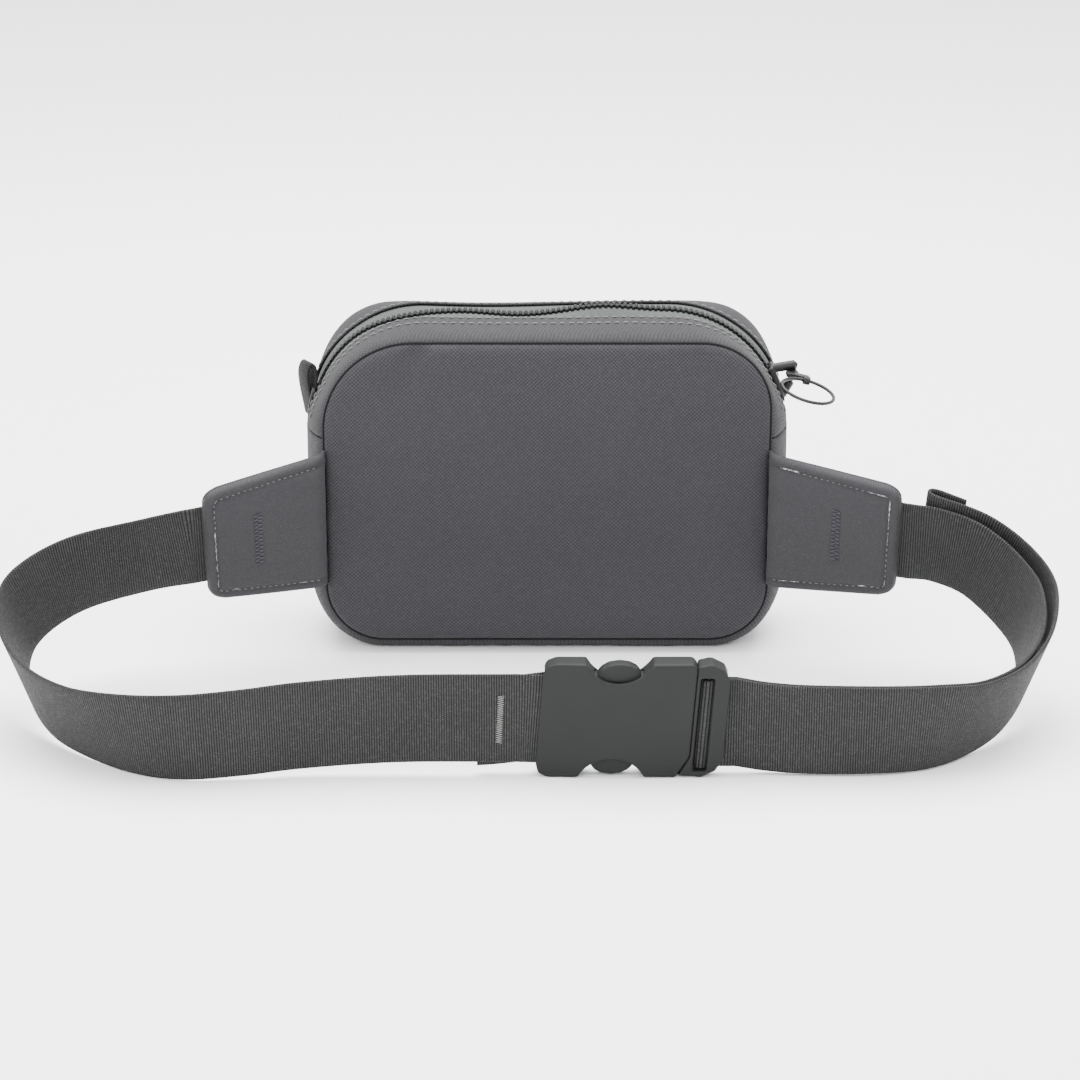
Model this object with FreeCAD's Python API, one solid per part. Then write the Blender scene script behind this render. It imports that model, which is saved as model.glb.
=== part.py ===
import FreeCAD, Part
import math
import os

V = FreeCAD.Vector

# Waist pack: X along the wearer's width, -Y toward the wearer, +Z up, floor at z = 0.
# All lengths in millimetres, all angles in degrees.

# pouch
HALF_W = 105.0          # half width at mid depth
POUCH_H = 151.0         # height at mid depth
HALF_D = 28.0           # half distance between the two seams
TOP_R = 54.0            # upper corner radius at mid depth
LOW_R = 32.0            # lower corner radius at mid depth
TOP_SAG = 48.0          # radius of the crown across the top
SIDE_SAG = 53.0         # radius of the crown across the sides
SEAM_LIFT = 5.0         # height of the lower seam over the floor
BASE_CUT = 0.5          # flattening of the underside where it rests
WALL = 1.8              # padded fabric wall
BACK_CROWN = 4.0        # how far the back panel stands out
FRONT_CROWN = 8.0       # how far the front panel stands out
GAP = 0.3               # clearance between neighbouring panels
LINING_IN = 6.0         # lining distance inside the outer face
LINING_T = 0.8
PAD_T = 4.0             # back foam
PAD_IN = 15.0
ZIP_PANEL_UP = 1.0      # seam of the zip panel and the lower gusset, above the corner arc's centre
ZIP_PANEL_Z = POUCH_H - TOP_R + ZIP_PANEL_UP
ZIP_FLAP_RIGHT = 6.0    # how far the right cross piece of the zip panel reaches up from that seam
SEAM_TOP_R = 32.0       # corner radii at the seams
SEAM_LOW_R = 26.0

# zipper
PITCH = 2.4             # tooth pitch, size 5 moulded zipper
CHAIN_IN = 3.2          # depth of the chain's mid plane under the crown
CHAIN_T = 2.6           # chain thickness
CHAIN_W = 2.9           # half width of the chain
TAPE_T = 0.6
TAPE_EDGE = 2.0         # inner edge of the tape from the centre line
TAPE_OUT = 10.0
STRIP_EDGE = 6.5        # folded edge of each zip strip from the centre line
SLIDE_A0 = 20.5         # angle of the slider on the corner arc
SLIDE_HALF = 8.5        # half its length as an angle
SLIDE_W = 4.9           # half width of the slider
PLATE_T = 1.2
RING_R = 11.6           # pull ring mid radius
WIRE_R = 0.75

# belt
WEB = 38.0              # webbing width
WEB_T = 1.6             # webbing thickness
WING_LEN = {-1: 53.0, 1: 57.0}          # length of the left and of the right wing
WING_ROOT = 30.5        # half height at the pouch
WING_END = 27.0         # half height at the belt end
COVER_T = 1.2
FOAM_T = 2.8

# buckle
BK_Y = -159.0           # mid plane of the buckle
BK_W = 48.8             # full width
BK_Z = BK_W / 2         # its long axis height: it stands on its lower edge
BK_T = 11.0             # full thickness
SOCK_X0 = -3.5
SOCK_X1 = 58.0
SOCK_WALL = 4.9         # side wall of the socket
CAV_H = BK_W / 2 - SOCK_WALL
CHAMBER_H = CAV_H + 0.7 # half width of the chamber for the webbing bar
CAV_T = 3.2             # half thickness of the socket's cavity
PLUG_FIT = 0.4          # clearance of the plug in the socket
BAR_R = 1.5             # webbing bars
WEB_FIT = 0.2           # webbing to bar, to slot and to its own second layer
FOLD_R = BAR_R + WEB_FIT + WEB_T
PLUG_SLOT_X = 59.4
PLUG_BAR_X = PLUG_SLOT_X + WEB_FIT + FOLD_R
PLUG_REIN_X = PLUG_BAR_X + 2.4      # inner face of the end bar
PLUG_END_X = PLUG_REIN_X + 6.0
LATCH_X = 52.0          # latch arm pivots
LATCH_Z = CAV_H - 6.5
WIN_X = 27.0            # middle of the side windows
WIN_R = 15.0
WIN_DEEP = 8.2          # how far the windows reach in from the sides


def rad(a):
    return math.radians(a)


def dome(r, y):
    return r - math.sqrt(r * r - y * y)


def outline(y, inset=0.0):
    """Closed rounded outline of the pouch at depth y, moved in by inset."""
    hw = HALF_W - dome(SIDE_SAG, y)
    k = min(1.0, abs(y) / HALF_D)
    lift = SEAM_LIFT * k ** 8 - BASE_CUT * (1 - k ** 8)
    top = POUCH_H - dome(TOP_SAG, y)
    rt = TOP_R - (TOP_R - SEAM_TOP_R) * k * k
    rb = LOW_R - (LOW_R - SEAM_LOW_R) * k * k
    return rounded(hw - inset, lift + inset, top - inset, rt - inset, rb - inset, y)


def rounded(hw, z0, z1, rt, rb, y):
    rt, rb = max(rt, 2.0), max(rb, 2.0)

    def arc(cx, cz, r, a):
        p = [V(cx + r * math.cos(rad(q)), y, cz + r * math.sin(rad(q))) for q in (a, a + 45, a + 90)]
        return p[0], p[2], Part.Arc(p[0], p[1], p[2]).toShape()

    corners = [arc(hw - rt, z1 - rt, rt, 0), arc(rt - hw, z1 - rt, rt, 90),
               arc(rb - hw, z0 + rb, rb, 180), arc(hw - rb, z0 + rb, rb, 270)]
    edges = []
    for i, c in enumerate(corners):
        edges.append(c[2])
        edges.append(Part.makeLine(c[1], corners[(i + 1) % 4][0]))
    return Part.Wire(edges)


def skin(inset, y0, y1, n=13):
    """Solid of the pouch between two depths, moved in by inset."""
    ys = [y0 + (y1 - y0) * i / (n - 1) for i in range(n)]
    return Part.makeLoft([outline(y, inset) for y in ys], True, False)


def solid_loft(wires):
    """Straight-sided loft, turned right side out."""
    out = Part.makeLoft(wires, True, True)
    if out.Volume < 0:
        out.reverse()
    return out


def box(x0, x1, y0, y1, z0, z1):
    return Part.makeBox(x1 - x0, y1 - y0, z1 - z0, V(x0, y0, z0))


def fuse(shapes):
    out = shapes[0]
    if len(shapes) > 1:
        out = out.fuse(shapes[1:])
    return out.removeSplitter()


def slab(points, y0, y1):
    """Closed XZ polygon drawn out along Y."""
    pts = [V(p[0], y0, p[1]) for p in points]
    return Part.Face(Part.makePolygon(pts + [pts[0]])).extrude(V(0, y1 - y0, 0))


def slab_z(points, z0, z1):
    """Closed XY polygon drawn out along Z."""
    pts = [V(p[0], p[1], z0) for p in points]
    return Part.Face(Part.makePolygon(pts + [pts[0]])).extrude(V(0, 0, z1 - z0))


# ---------------------------------------------------------------- pouch

def gusset_shell():
    edge = HALF_D - GAP
    shell = skin(0.0, -edge, edge).cut(skin(WALL, -HALF_D, HALF_D))
    return shell.common(box(-200, 200, -60, 60, 0, 300))


def lower_gusset(shell):
    return shell.common(box(-200, 200, -60, 60, -5, ZIP_PANEL_Z))


def zip_strip(shell, side):
    top = shell.common(box(-200, 200, -60, 60, ZIP_PANEL_Z + GAP, 200))
    y0, y1 = sorted((side * STRIP_EDGE, side * 60))
    return top.common(box(-200, 200, y0, y1, 0, 200))


def zip_end(shell, side, z1):
    w = STRIP_EDGE - GAP
    x0, x1 = sorted((side * 80, side * 200))
    return shell.common(box(x0, x1, -w, w, ZIP_PANEL_Z + GAP, z1))


def panel(side, crown):
    """Padded end panel: a shallow crowned dish, open toward the inside."""
    def body(inset, shift):
        steps = [(0.0, 0.0), (2.5, 0.55), (8.0, 0.85), (20.0, 1.0)]
        wires = []
        for add, rise in steps:
            y = side * (HALF_D + rise * crown - shift)
            wires.append(outline(HALF_D, inset + add).translated(V(0, y - HALF_D, 0)))
        return Part.makeLoft(wires, True, True)
    hollow = body(WALL, WALL)
    return body(0.0, 0.0).cut(hollow)


def back_foam():
    inner = HALF_D + BACK_CROWN - WALL - 3 * GAP
    wire = outline(HALF_D, PAD_IN).translated(V(0, -inner - HALF_D, 0))
    return Part.Face(wire).extrude(V(0, PAD_T, 0))


def seam_binding(side):
    """Folded tape round the raw seam edges inside the pouch."""
    edge = HALF_D - 1.4
    y0, y1 = side * edge, side * (edge - 1.6)

    def solid(inset):
        face = Part.Face(outline(edge, inset).translated(V(0, y0 - edge, 0)))
        return face.extrude(V(0, y1 - y0, 0))
    return solid(WALL + 0.5).cut(solid(LINING_IN - 1.1))


def lining():
    edge = HALF_D - 4.0
    bag = skin(LINING_IN, -edge, edge).cut(skin(LINING_IN + LINING_T, 1.0 - edge, edge - 1.0))
    mouth = box(-120, 120, -8, 8, ZIP_PANEL_Z + 3, 200)
    return bag.cut(mouth)


# ---------------------------------------------------------------- zipper

ARC_X = HALF_W - TOP_R
ARC_Z = POUCH_H - TOP_R
CHAIN_R = TOP_R - CHAIN_IN


def on_arc(r, a, side=1):
    return (side * (ARC_X + r * math.cos(rad(a))), ARC_Z + r * math.sin(rad(a)))


def arch_band(r0, r1, a_right, a_left, y0, y1):
    """Band over the arch between two radii, with true round corners."""
    def arc(r, side, a, b):
        pts = [on_arc(r, q, side) for q in (a, (a + b) / 2.0, b)]
        p = [V(x, y0, z) for x, z in pts]
        return Part.Arc(p[0], p[1], p[2]).toShape(), p[0], p[2]
    o1, oa, ob = arc(r1, 1, a_right, 90)
    o2, oc, od = arc(r1, -1, 90, a_left)
    i2, ia, ib = arc(r0, -1, a_left, 90)
    i1, ic, idd = arc(r0, 1, 90, a_right)
    wire = Part.Wire([o1, Part.makeLine(ob, oc), o2, Part.makeLine(od, ia), i2,
                      Part.makeLine(ib, ic), i1, Part.makeLine(idd, oa)])
    return Part.Face(wire).extrude(V(0, y1 - y0, 0))


TEETH_RIGHT = SLIDE_A0 - 4.0
TEETH_LEFT = 24.0


def tape(side):
    y0, y1 = sorted((side * TAPE_EDGE, side * TAPE_OUT))
    return arch_band(CHAIN_R - TAPE_T / 2, CHAIN_R + TAPE_T / 2, 6.0, 14.0, y0, y1)


def teeth(side):
    """One side of the chain: a rib along the tape edge with a tooth every pitch."""
    rib_y = sorted((side * (TAPE_EDGE - 0.9), side * (TAPE_EDGE - 0.05)))
    parts = [arch_band(CHAIN_R - CHAIN_T / 2, CHAIN_R + CHAIN_T / 2, TEETH_RIGHT, TEETH_LEFT, *rib_y)]
    right = rad(90 - TEETH_RIGHT) * CHAIN_R
    left = rad(90 - TEETH_LEFT) * CHAIN_R
    total = right + 2 * ARC_X + left
    s = PITCH * (0.75 if side > 0 else 1.25)
    y0, y1 = sorted((side * (TAPE_EDGE - 0.9), side * -0.6))
    while s < total - PITCH:
        if s < right:
            a = TEETH_RIGHT + math.degrees(s / CHAIN_R)
            x, z = on_arc(CHAIN_R, a)
            turn = a
        elif s < right + 2 * ARC_X:
            x, z, turn = ARC_X - (s - right), ARC_Z + CHAIN_R, 90
        else:
            a = 90 - math.degrees((s - right - 2 * ARC_X) / CHAIN_R)
            x, z = on_arc(CHAIN_R, a, -1)
            turn = 180 - a
        half = CHAIN_T / 2 - 0.15
        tooth = Part.makeBox(2 * half, y1 - y0, PITCH * 0.42, V(-half, y0, -PITCH * 0.21))
        tooth.rotate(V(0, 0, 0), V(0, -1, 0), turn)
        tooth.translate(V(x, 0, z))
        parts.append(tooth)
        s += PITCH
    return parts[0].fuse(parts[1:])


def sector(r0, r1, a0, a1, y0, y1):
    pts = [on_arc(r1, a0), on_arc(r1, (a0 + a1) / 2), on_arc(r1, a1),
           on_arc(r0, a1), on_arc(r0, (a0 + a1) / 2), on_arc(r0, a0)]
    p = [V(x, y0, z) for x, z in pts]
    wire = Part.Wire([Part.Arc(p[0], p[1], p[2]).toShape(), Part.makeLine(p[2], p[3]),
                      Part.Arc(p[3], p[4], p[5]).toShape(), Part.makeLine(p[5], p[0])])
    return Part.Face(wire).extrude(V(0, y1 - y0, 0))


def end_stop(side):
    y0, y1 = sorted((side * TAPE_EDGE - side * 0.9, side * CHAIN_W))
    a = SLIDE_A0 - SLIDE_HALF - 3.2
    block = sector(CHAIN_R - 1.2, CHAIN_R + 1.2, a, a + 2.2, y0, y1)
    return block.cut(tape(side))


STOP_A = TEETH_LEFT - 4.5       # lower end of the bottom stop
STOP_HALF = 1.4
ZIP_FLAP_LEFT = on_arc(CHAIN_R - STOP_HALF, STOP_A)[1] - GAP    # top of the left cross piece


def bottom_stop():
    block = sector(CHAIN_R - STOP_HALF, CHAIN_R + STOP_HALF, STOP_A, STOP_A + 4.0, -CHAIN_W, CHAIN_W)
    block = block.mirror(V(0, 0, 0), V(1, 0, 0))
    return block.cut(tape(1)).cut(tape(-1))


# pull: the crown bar's lower shoulder leans outward by BAR_LEAN
BAR_LEAN = 15.0
BAR_DIR = V(math.sin(rad(BAR_LEAN)), 0, math.cos(rad(BAR_LEAN)))
PULL_DIR = V(math.cos(rad(BAR_LEAN)), 0, -math.sin(rad(BAR_LEAN)))
PIVOT_OUT = 6.4         # pivot of the puller tab over the pouch's surface
PIVOT_A = 22.0
PIVOT_X, PIVOT_Z = on_arc(TOP_R + PIVOT_OUT, PIVOT_A)
PIVOT = V(PIVOT_X, 0, PIVOT_Z)
CROWN_R = 1.1
RING_Y = -7.6           # barrel line of the puller tab
RING_OFF = 5.8          # barrel middle along the pull direction
RING_TILT = 6.0


def rod(a, b, r):
    return Part.makeCylinder(r, (b - a).Length, a, b - a)


def slider():
    a0, a1 = SLIDE_A0 - SLIDE_HALF, SLIDE_A0 + SLIDE_HALF
    half = CHAIN_T / 2 + 0.4
    slot = TAPE_T / 2 + 0.3
    parts = []
    for s in (1, -1):
        plate = sorted((CHAIN_R + s * half, CHAIN_R + s * (half + PLATE_T)))
        parts.append(sector(plate[0], plate[1], a0, a1, -SLIDE_W, SLIDE_W))
        lip = sorted((CHAIN_R + s * slot, CHAIN_R + s * half))
        for q in (1, -1):
            y0, y1 = sorted((q * (SLIDE_W - 1.0), q * SLIDE_W))
            parts.append(sector(lip[0], lip[1], a0, a1, y0, y1))
    neck_end = TEETH_RIGHT - 1.0
    parts.append(sector(CHAIN_R - half, CHAIN_R + half, a0, neck_end, -0.9, 0.9))
    top = CHAIN_R + half + PLATE_T - 0.3
    base0, base1 = on_arc(top, a0 + 1.6), on_arc(top, a1 - 1.6)
    p0 = V(base0[0], 0, base0[1])
    p1 = PIVOT - BAR_DIR * 4.2
    p2 = PIVOT + BAR_DIR * 3.6
    p3 = V(base1[0], 0, base1[1])
    for a, b in ((p0, p1), (p1, p2), (p2, p3)):
        parts.append(rod(a, b, CROWN_R))
    for p in (p1, p2):
        parts.append(Part.makeSphere(CROWN_R, p))
    return fuse(parts)


def tab_frame(shape):
    """Moves a shape drawn with X along the pull and Z along the bar onto the pivot."""
    shape.rotate(V(0, 0, 0), V(0, 1, 0), BAR_LEAN)
    shape.translate(PIVOT)
    return shape


def puller_tab():
    eye = Part.makeCylinder(2.5, 1.8, V(0, 0, -0.9))
    plate = box(-3.0, 7.2, -7.0, -1.6, -0.8, 0.8)
    barrel = Part.makeCylinder(1.75, 2.8, V(RING_OFF - 1.4, RING_Y, 0), V(1, 0, 0))
    bar_hole = Part.makeCylinder(CROWN_R + 0.3, 4, V(0, 0, -2))
    wire_hole = Part.makeCylinder(WIRE_R + 0.35, 4, V(RING_OFF - 2, RING_Y, 0), V(1, 0, 0))
    relief = box(RING_OFF - 7.4, RING_OFF - 1.4, RING_Y - 2, RING_Y + 1.9, -2, 2)
    body = fuse([eye, plate, barrel]).cut(bar_hole).cut(wire_hole).cut(relief)
    return tab_frame(body)


def pull_ring():
    ring = Part.makeTorus(RING_R, WIRE_R, V(RING_OFF, RING_Y - RING_R, 0), V(0, 0, 1))
    ring.rotate(V(RING_OFF, RING_Y, 0), V(1, 0, 0), RING_TILT)
    return tab_frame(ring)


LOOP_T = 1.3            # tape of the grab loop
LOOP_W = 10.0


def grab_loop():
    """Folded tape loop standing up from the left end of the zip."""
    outer = [(0.5, 1.5), (2.5, 9.0), (3.8, 16.0), (3.6, 22.0), (1.8, 25.6),
             (-1.2, 26.6), (-3.4, 24.6), (-3.0, 20.5), (-1.5, 15.0), (-0.2, 9.0)]
    outer = [(-HALF_W - x, ZIP_PANEL_Z + z) for x, z in outer]
    cx, cz = -HALF_W + 0.3, ZIP_PANEL_Z + 18.0
    eye = []
    for x, z in outer[2:9]:
        d = math.hypot(x - cx, z - cz)
        eye.append((x + (cx - x) / d * LOOP_T, z + (cz - z) / d * LOOP_T))
    eye.append((-HALF_W - 0.1, ZIP_PANEL_Z + 6.5))
    half = LOOP_W / 2
    return slab(outer, -half, half).cut(slab(eye, -half - 1, half + 1))


# ---------------------------------------------------------------- wings

WING_X = HALF_W - dome(SIDE_SAG, HALF_D) + 1.56     # the root, just outside the rear seam
WING_Y = -HALF_D - 1.2
WING_Z = 62.5
WING_DROP = {-1: 3.5, 1: 1.0}           # how far each wing drops over WING_OUT
WING_OUT = 50.0
WING_BACK = 20.0
WING_LEAN = 14.0


def wing_axes(side, s=0.0):
    """Along, up and wearer directions; the wing leans more toward its belt end."""
    lean = rad(WING_LEAN * min(max(s / WING_LEN[side], 0.0), 1.0))
    u = V(side * WING_OUT, -WING_BACK, -WING_DROP[side]).normalize()
    w = V(0, -math.sin(lean), math.cos(lean))
    n = (u.cross(w) if side > 0 else w.cross(u)).normalize()
    return u, w, n


def wing_point(side, s, h, d):
    """s along the wing, h up its face, d toward the wearer."""
    u, w, n = wing_axes(side, s)
    return V(side * WING_X, WING_Y, WING_Z) + u * s + w * h + n * d


def wing_layer(side, inset, d0, d1, s0=0.0, s1=None, half=None):
    """Layer of the wing between two depths, its far corners cut off."""
    r = max(6.0 - inset, 0.5)
    full = WING_LEN[side]
    a, b = s0 + inset, (s1 or full) - inset
    steps = [(a, 0.0), ((a + b) / 2, 0.0), (b - r, 0.0), (b - r * 0.3, r * 0.3), (b, r)]
    wires = []
    for s, less in steps:
        h = half or WING_ROOT + (WING_END - WING_ROOT) * s / full - inset - less
        p = [wing_point(side, s, q[0], q[1]) for q in ((h, d1), (-h, d1), (-h, d0), (h, d0))]
        wires.append(Part.makePolygon(p + [p[0]]))
    return solid_loft(wires)


POCKET = WEB_T + 0.8


def wing_parts(side):
    d1 = COVER_T + POCKET + 0.2
    d2 = d1 + GAP
    d3 = d2 + FOAM_T + COVER_T + 0.2
    rear = wing_layer(side, 0.0, 0.0, d1).cut(wing_layer(side, COVER_T, COVER_T, d1 + 1))
    full = WING_LEN[side]
    slot = wing_layer(side, 0.0, COVER_T + 0.15, d1 + 1, full - 9.0, full + 4.0, WEB / 2 + 0.4)
    rear = rear.cut(slot)
    front = wing_layer(side, 0.0, d2, d3).cut(wing_layer(side, COVER_T, d2 - 1, d3 - COVER_T))
    foam = wing_layer(side, COVER_T + GAP, d2, d2 + FOAM_T)
    return front, foam, rear


# ---------------------------------------------------------------- belt

WING_TUCK = 26.0        # how far in the webbing reaches, from the pouch end of the wing

# stations: x, y, z of the middle, lean toward the wearer, outward flare of the upper edge,
# chosen for a pouch whose side is at PATH_SIDE
PATH_SIDE = 105.0
LEFT_PATH = [(-172, -56, 55.0, 18, -0.08), (-199, -67, 51.0, 18, -0.18), (-216.5, -80, 44.0, 18, -0.24),
             (-222.5, -93, 36.5, 18, -0.25), (-219, -113, 27.5, 20, -0.25), (-207, -133, 20.5, 20, -0.2),
             (-189, -151, 18.6, 20, -0.12), (-168, -163, 18.7, 12, -0.05), (-146, -168, 19.3, 5, 0),
             (-122, -166, 20.5, 3, 0), (-98, -162, 22.0, 2, 0), (-60, -160, 24.0, 1, 0)]
RIGHT_PATH = [(166, -57, 60.0, 17, 0.08), (182, -65, 56.0, 18, 0.2), (196, -77, 46.5, 18, 0.28),
              (202.5, -92, 38.5, 18, 0.3), (199, -113, 29.5, 20, 0.28), (188, -132, 22.2, 20, 0.22),
              (172, -147, 19.3, 18, 0.12), (154, -156.5, 19.4, 8, 0.04), (132, -160.5, 19.7, 3, 0),
              (104, -160.0, 19.7, 1, 0), (88, -158.6, 20.4, 1, 0)]


def spline(rows, n):
    """Smooth path through every row."""
    k = len(rows[0])
    ends = [[2 * rows[0][j] - rows[1][j] for j in range(k)]]
    tail = [[2 * rows[-1][j] - rows[-2][j] for j in range(k)]]
    q = ends + [list(r) for r in rows] + tail
    out = []
    for i in range(1, len(q) - 2):
        for m in range(n):
            t = m / float(n)
            out.append([0.5 * (2 * q[i][j] + (q[i + 1][j] - q[i - 1][j]) * t
                               + (2 * q[i - 1][j] - 5 * q[i][j] + 4 * q[i + 1][j] - q[i + 2][j]) * t * t
                               + (3 * q[i][j] - q[i - 1][j] - 3 * q[i + 1][j] + q[i + 2][j]) * t ** 3)
                        for j in range(k)])
    out.append(list(rows[-1]))
    return out


def placed(path, last):
    """Stations moved with the pouch's side: wholly beyond the wing, not at all at the buckle."""
    far = abs(path[0][0])
    near = abs(last[0])
    out = []
    for x, y, z, lean, flare in path:
        share = min(1.0, (abs(x) - near) / (far - near))
        out.append((x + math.copysign((HALF_W - PATH_SIDE) * share, x), y, z, lean, flare))
    return out


def band_frames(side, path, last, n=3):
    """Middle point, width direction and outward normal along the belt."""
    frames = []
    deep = COVER_T + POCKET / 2 + 0.1
    full = WING_LEN[side]
    for s in (WING_TUCK, (WING_TUCK + full) / 2, full + 1.0, full + 4.0):
        u, w, out = wing_axes(side, s)
        frames.append((wing_point(side, s, 0.0, deep), w, out * -1.0))
    p, w = frames[-1][0], frames[-1][1]
    start = (p.x, p.y, p.z, math.degrees(math.asin(-w.y)), w.x / w.z)
    pts = spline([start] + placed(path, last) + [last], n)
    for i in range(1, len(pts)):
        r, a, b = pts[i], pts[i - 1], pts[min(i + 1, len(pts) - 1)]
        t = V(b[0] - a[0], b[1] - a[1], b[2] - a[2]).normalize()
        w = V(r[4], -math.sin(rad(r[3])), math.cos(rad(r[3])))
        if i == len(pts) - 1:
            t, w = V(side * -1.0, 0, 0), V(0, 0, 1)
        if r[3] > 4.0:
            w = w - t * w.dot(t)
        w.normalize()
        out = (t.cross(w) if side < 0 else w.cross(t)).normalize()
        frames.append((V(r[0], r[1], r[2]), w, out))
    return frames


def band(frames, offset):
    """Webbing of full width whose middle lies offset outward from the path."""
    wires = []
    for (p, w, out), off in zip(frames, offset):
        c = p + out * off
        a, b = w * (WEB / 2), out * (WEB_T / 2)
        q = [c + a + b, c - a + b, c - a - b, c + a - b]
        wires.append(Part.makePolygon(q + [q[0]]))
    return solid_loft(wires)


def hook(cx, cy, side, front_end, rear_end, z0):
    """Webbing folded round a bar; the open side faces away from the bar's end of the buckle."""
    r0, r1 = BAR_R + WEB_FIT, FOLD_R
    fold = Part.makeCylinder(r1, WEB, V(cx, cy, z0)).cut(Part.makeCylinder(r0, WEB, V(cx, cy, z0)))
    x0, x1 = sorted((cx, cx + side * 10))
    fold = fold.common(box(x0, x1, cy - 9, cy + 9, z0, z0 + WEB))
    legs = []
    for sign, end in ((-1, front_end), (1, rear_end)):
        y0, y1 = cy + sign * r0, cy + sign * r1
        pts = [(cx, y0), (cx, y1)] + [(x, y + sign * WEB_T / 2) for x, y in end]
        pts += [(x, y - sign * WEB_T / 2) for x, y in reversed(end)]
        legs.append(slab_z(pts, z0, z0 + WEB))
    return fold.fuse(legs)


LEFT_BAR_X = 2.6
LEFT_BAR_Y = BK_Y + 0.4
LEFT_END = (-12.0, BK_Y - 1.2, BK_Z, 0, 0)
RIGHT_END = (PLUG_END_X + 4.0, BK_Y + 1.3, BK_Z - 2.2, 0, 0)
LAYER = WEB_T + WEB_FIT     # spacing of two layers of webbing


def left_strap():
    frames = band_frames(-1, LEFT_PATH, LEFT_END)
    main = band(frames, [0.0] * len(frames))
    y_main = LEFT_END[1]
    loop = hook(LEFT_BAR_X, LEFT_BAR_Y, 1, [(-4.0, y_main - 0.2), (-12.0, y_main)],
                [(-6.0, y_main + WEB_T + 1.2), (-15.0, y_main + WEB_T + 0.05), (-26.0, y_main + WEB_T)],
                BK_Z - WEB / 2)
    return main.fuse(loop).removeSplitter()


TAIL_GAP = 3.4          # how far the returned layer stands off in the turn


def tail_offsets(n):
    """The returned layer lies on the outside and stands off a little in the turn."""
    out = []
    for i in range(n):
        s = i / (n - 1.0)
        out.append(LAYER + TAIL_GAP * math.exp(-((s - 0.22) / 0.13) ** 2))
    out[-1] = LAYER
    return out


TAIL_START = 7          # first path frame that the returned layer reaches
FOLD_TURN = 5.1         # height of the flat loop at the tail's end


def right_strap():
    frames = band_frames(1, RIGHT_PATH, RIGHT_END)
    main = band(frames, [0.0] * len(frames))
    sub = frames[TAIL_START:]
    tail_off = tail_offsets(len(sub))
    tail = band(sub, tail_off)
    # the tail's end is turned back on itself as a flat open loop
    p, w, out = sub[0]
    t = (p - sub[1][0]).normalize()
    c = p + out * tail_off[0] - w * (WEB / 2)
    h = FOLD_TURN
    path = [(-1.0, 0.0), (4.5, 0.06 * h), (7.2, 0.25 * h), (8.2, 0.59 * h), (7.2, 0.9 * h),
            (4.0, h), (-2.0, 0.9 * h), (-8.0, 0.78 * h)]
    left, right = [], []
    for i, (s, o) in enumerate(path):
        a, b = path[max(i - 1, 0)], path[min(i + 1, len(path) - 1)]
        d = math.hypot(b[0] - a[0], b[1] - a[1])
        nx, ny = -(b[1] - a[1]) / d * WEB_T / 2, (b[0] - a[0]) / d * WEB_T / 2
        left.append(c + t * (s + nx) + out * (o + ny))
        right.append(c + t * (s - nx) + out * (o - ny))
    ring = left + right[::-1]
    fold = Part.Face(Part.makePolygon(ring + [ring[0]])).extrude(w * WEB)
    y = RIGHT_END[1]
    z0 = RIGHT_END[2] - WEB / 2
    bend = (PLUG_BAR_X + 1.2, BK_Y - FOLD_R + WEB_T / 2 + 0.35)
    past = PLUG_REIN_X + 1.0
    wrap = hook(PLUG_BAR_X, BK_Y, -1, [bend, (past, y - LAYER), (RIGHT_END[0], y - LAYER)],
                [(past, y), (RIGHT_END[0], y)], z0)
    out = wrap
    for piece in (main, tail, fold):
        out = out.fuse(piece)
    return out


# ---------------------------------------------------------------- buckle

def side_windows():
    cuts = []
    for s in (1, -1):
        z = BK_Z + s * (BK_W / 2 + WIN_R - WIN_DEEP)
        cuts.append(Part.makeCylinder(WIN_R, 40, V(WIN_X, BK_Y - 20, z), V(0, 1, 0)))
    return cuts


BOW_R = 500.0           # the socket's front is bowed lengthwise
SOCK_FACE = 2.3         # depth of the webbing chamber behind the front's highest line
SHOULDER = (5.0, 9.0)   # slanted lower corner of the socket, which the plug's shoulder fills


def buckle_female():
    h = BK_W / 2
    c = 5.0
    sx, sz = SHOULDER
    pts = [(SOCK_X0 + c, BK_Z - h), (SOCK_X1 - sx, BK_Z - h), (SOCK_X1, BK_Z - h + sz), (SOCK_X1, BK_Z + h - 2),
           (SOCK_X1 - 2, BK_Z + h), (SOCK_X0 + c, BK_Z + h), (SOCK_X0 + 1.5, BK_Z + h - 1.5),
           (SOCK_X0, BK_Z + h - c), (SOCK_X0, BK_Z - h + c), (SOCK_X0 + 1.5, BK_Z - h + 1.5)]
    y0 = BK_Y - BK_T / 2
    y1 = BK_Y + BK_T / 2
    body = slab(pts, y0, y1)
    edges = [e for e in body.Edges if abs(e.Vertexes[0].Point.y - e.Vertexes[-1].Point.y) < 0.01]
    body = body.makeFillet(1.6, edges)
    bow = Part.makeCylinder(BOW_R, BK_W + 20, V((SOCK_X0 + PLUG_END_X) / 2, y0 + BOW_R, -10))
    body = body.common(bow)
    for w in side_windows():
        body = body.cut(w)
    cavity = box(9.0, SOCK_X1 + 5, BK_Y - CAV_T, BK_Y + CAV_T, BK_Z - CAV_H, BK_Z + CAV_H)
    chamber = box(SOCK_X0 - 5, LEFT_BAR_X + FOLD_R + 1.1, BK_Y - BK_T / 2 + SOCK_FACE, BK_Y + BK_T,
                  BK_Z - CHAMBER_H, BK_Z + CHAMBER_H)
    body = body.cut(cavity).cut(chamber)
    bar_half = CHAMBER_H + 0.5
    bar = Part.makeCylinder(BAR_R, 2 * bar_half, V(LEFT_BAR_X, LEFT_BAR_Y, BK_Z - bar_half))
    return body.fuse(bar).removeSplitter()


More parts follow.
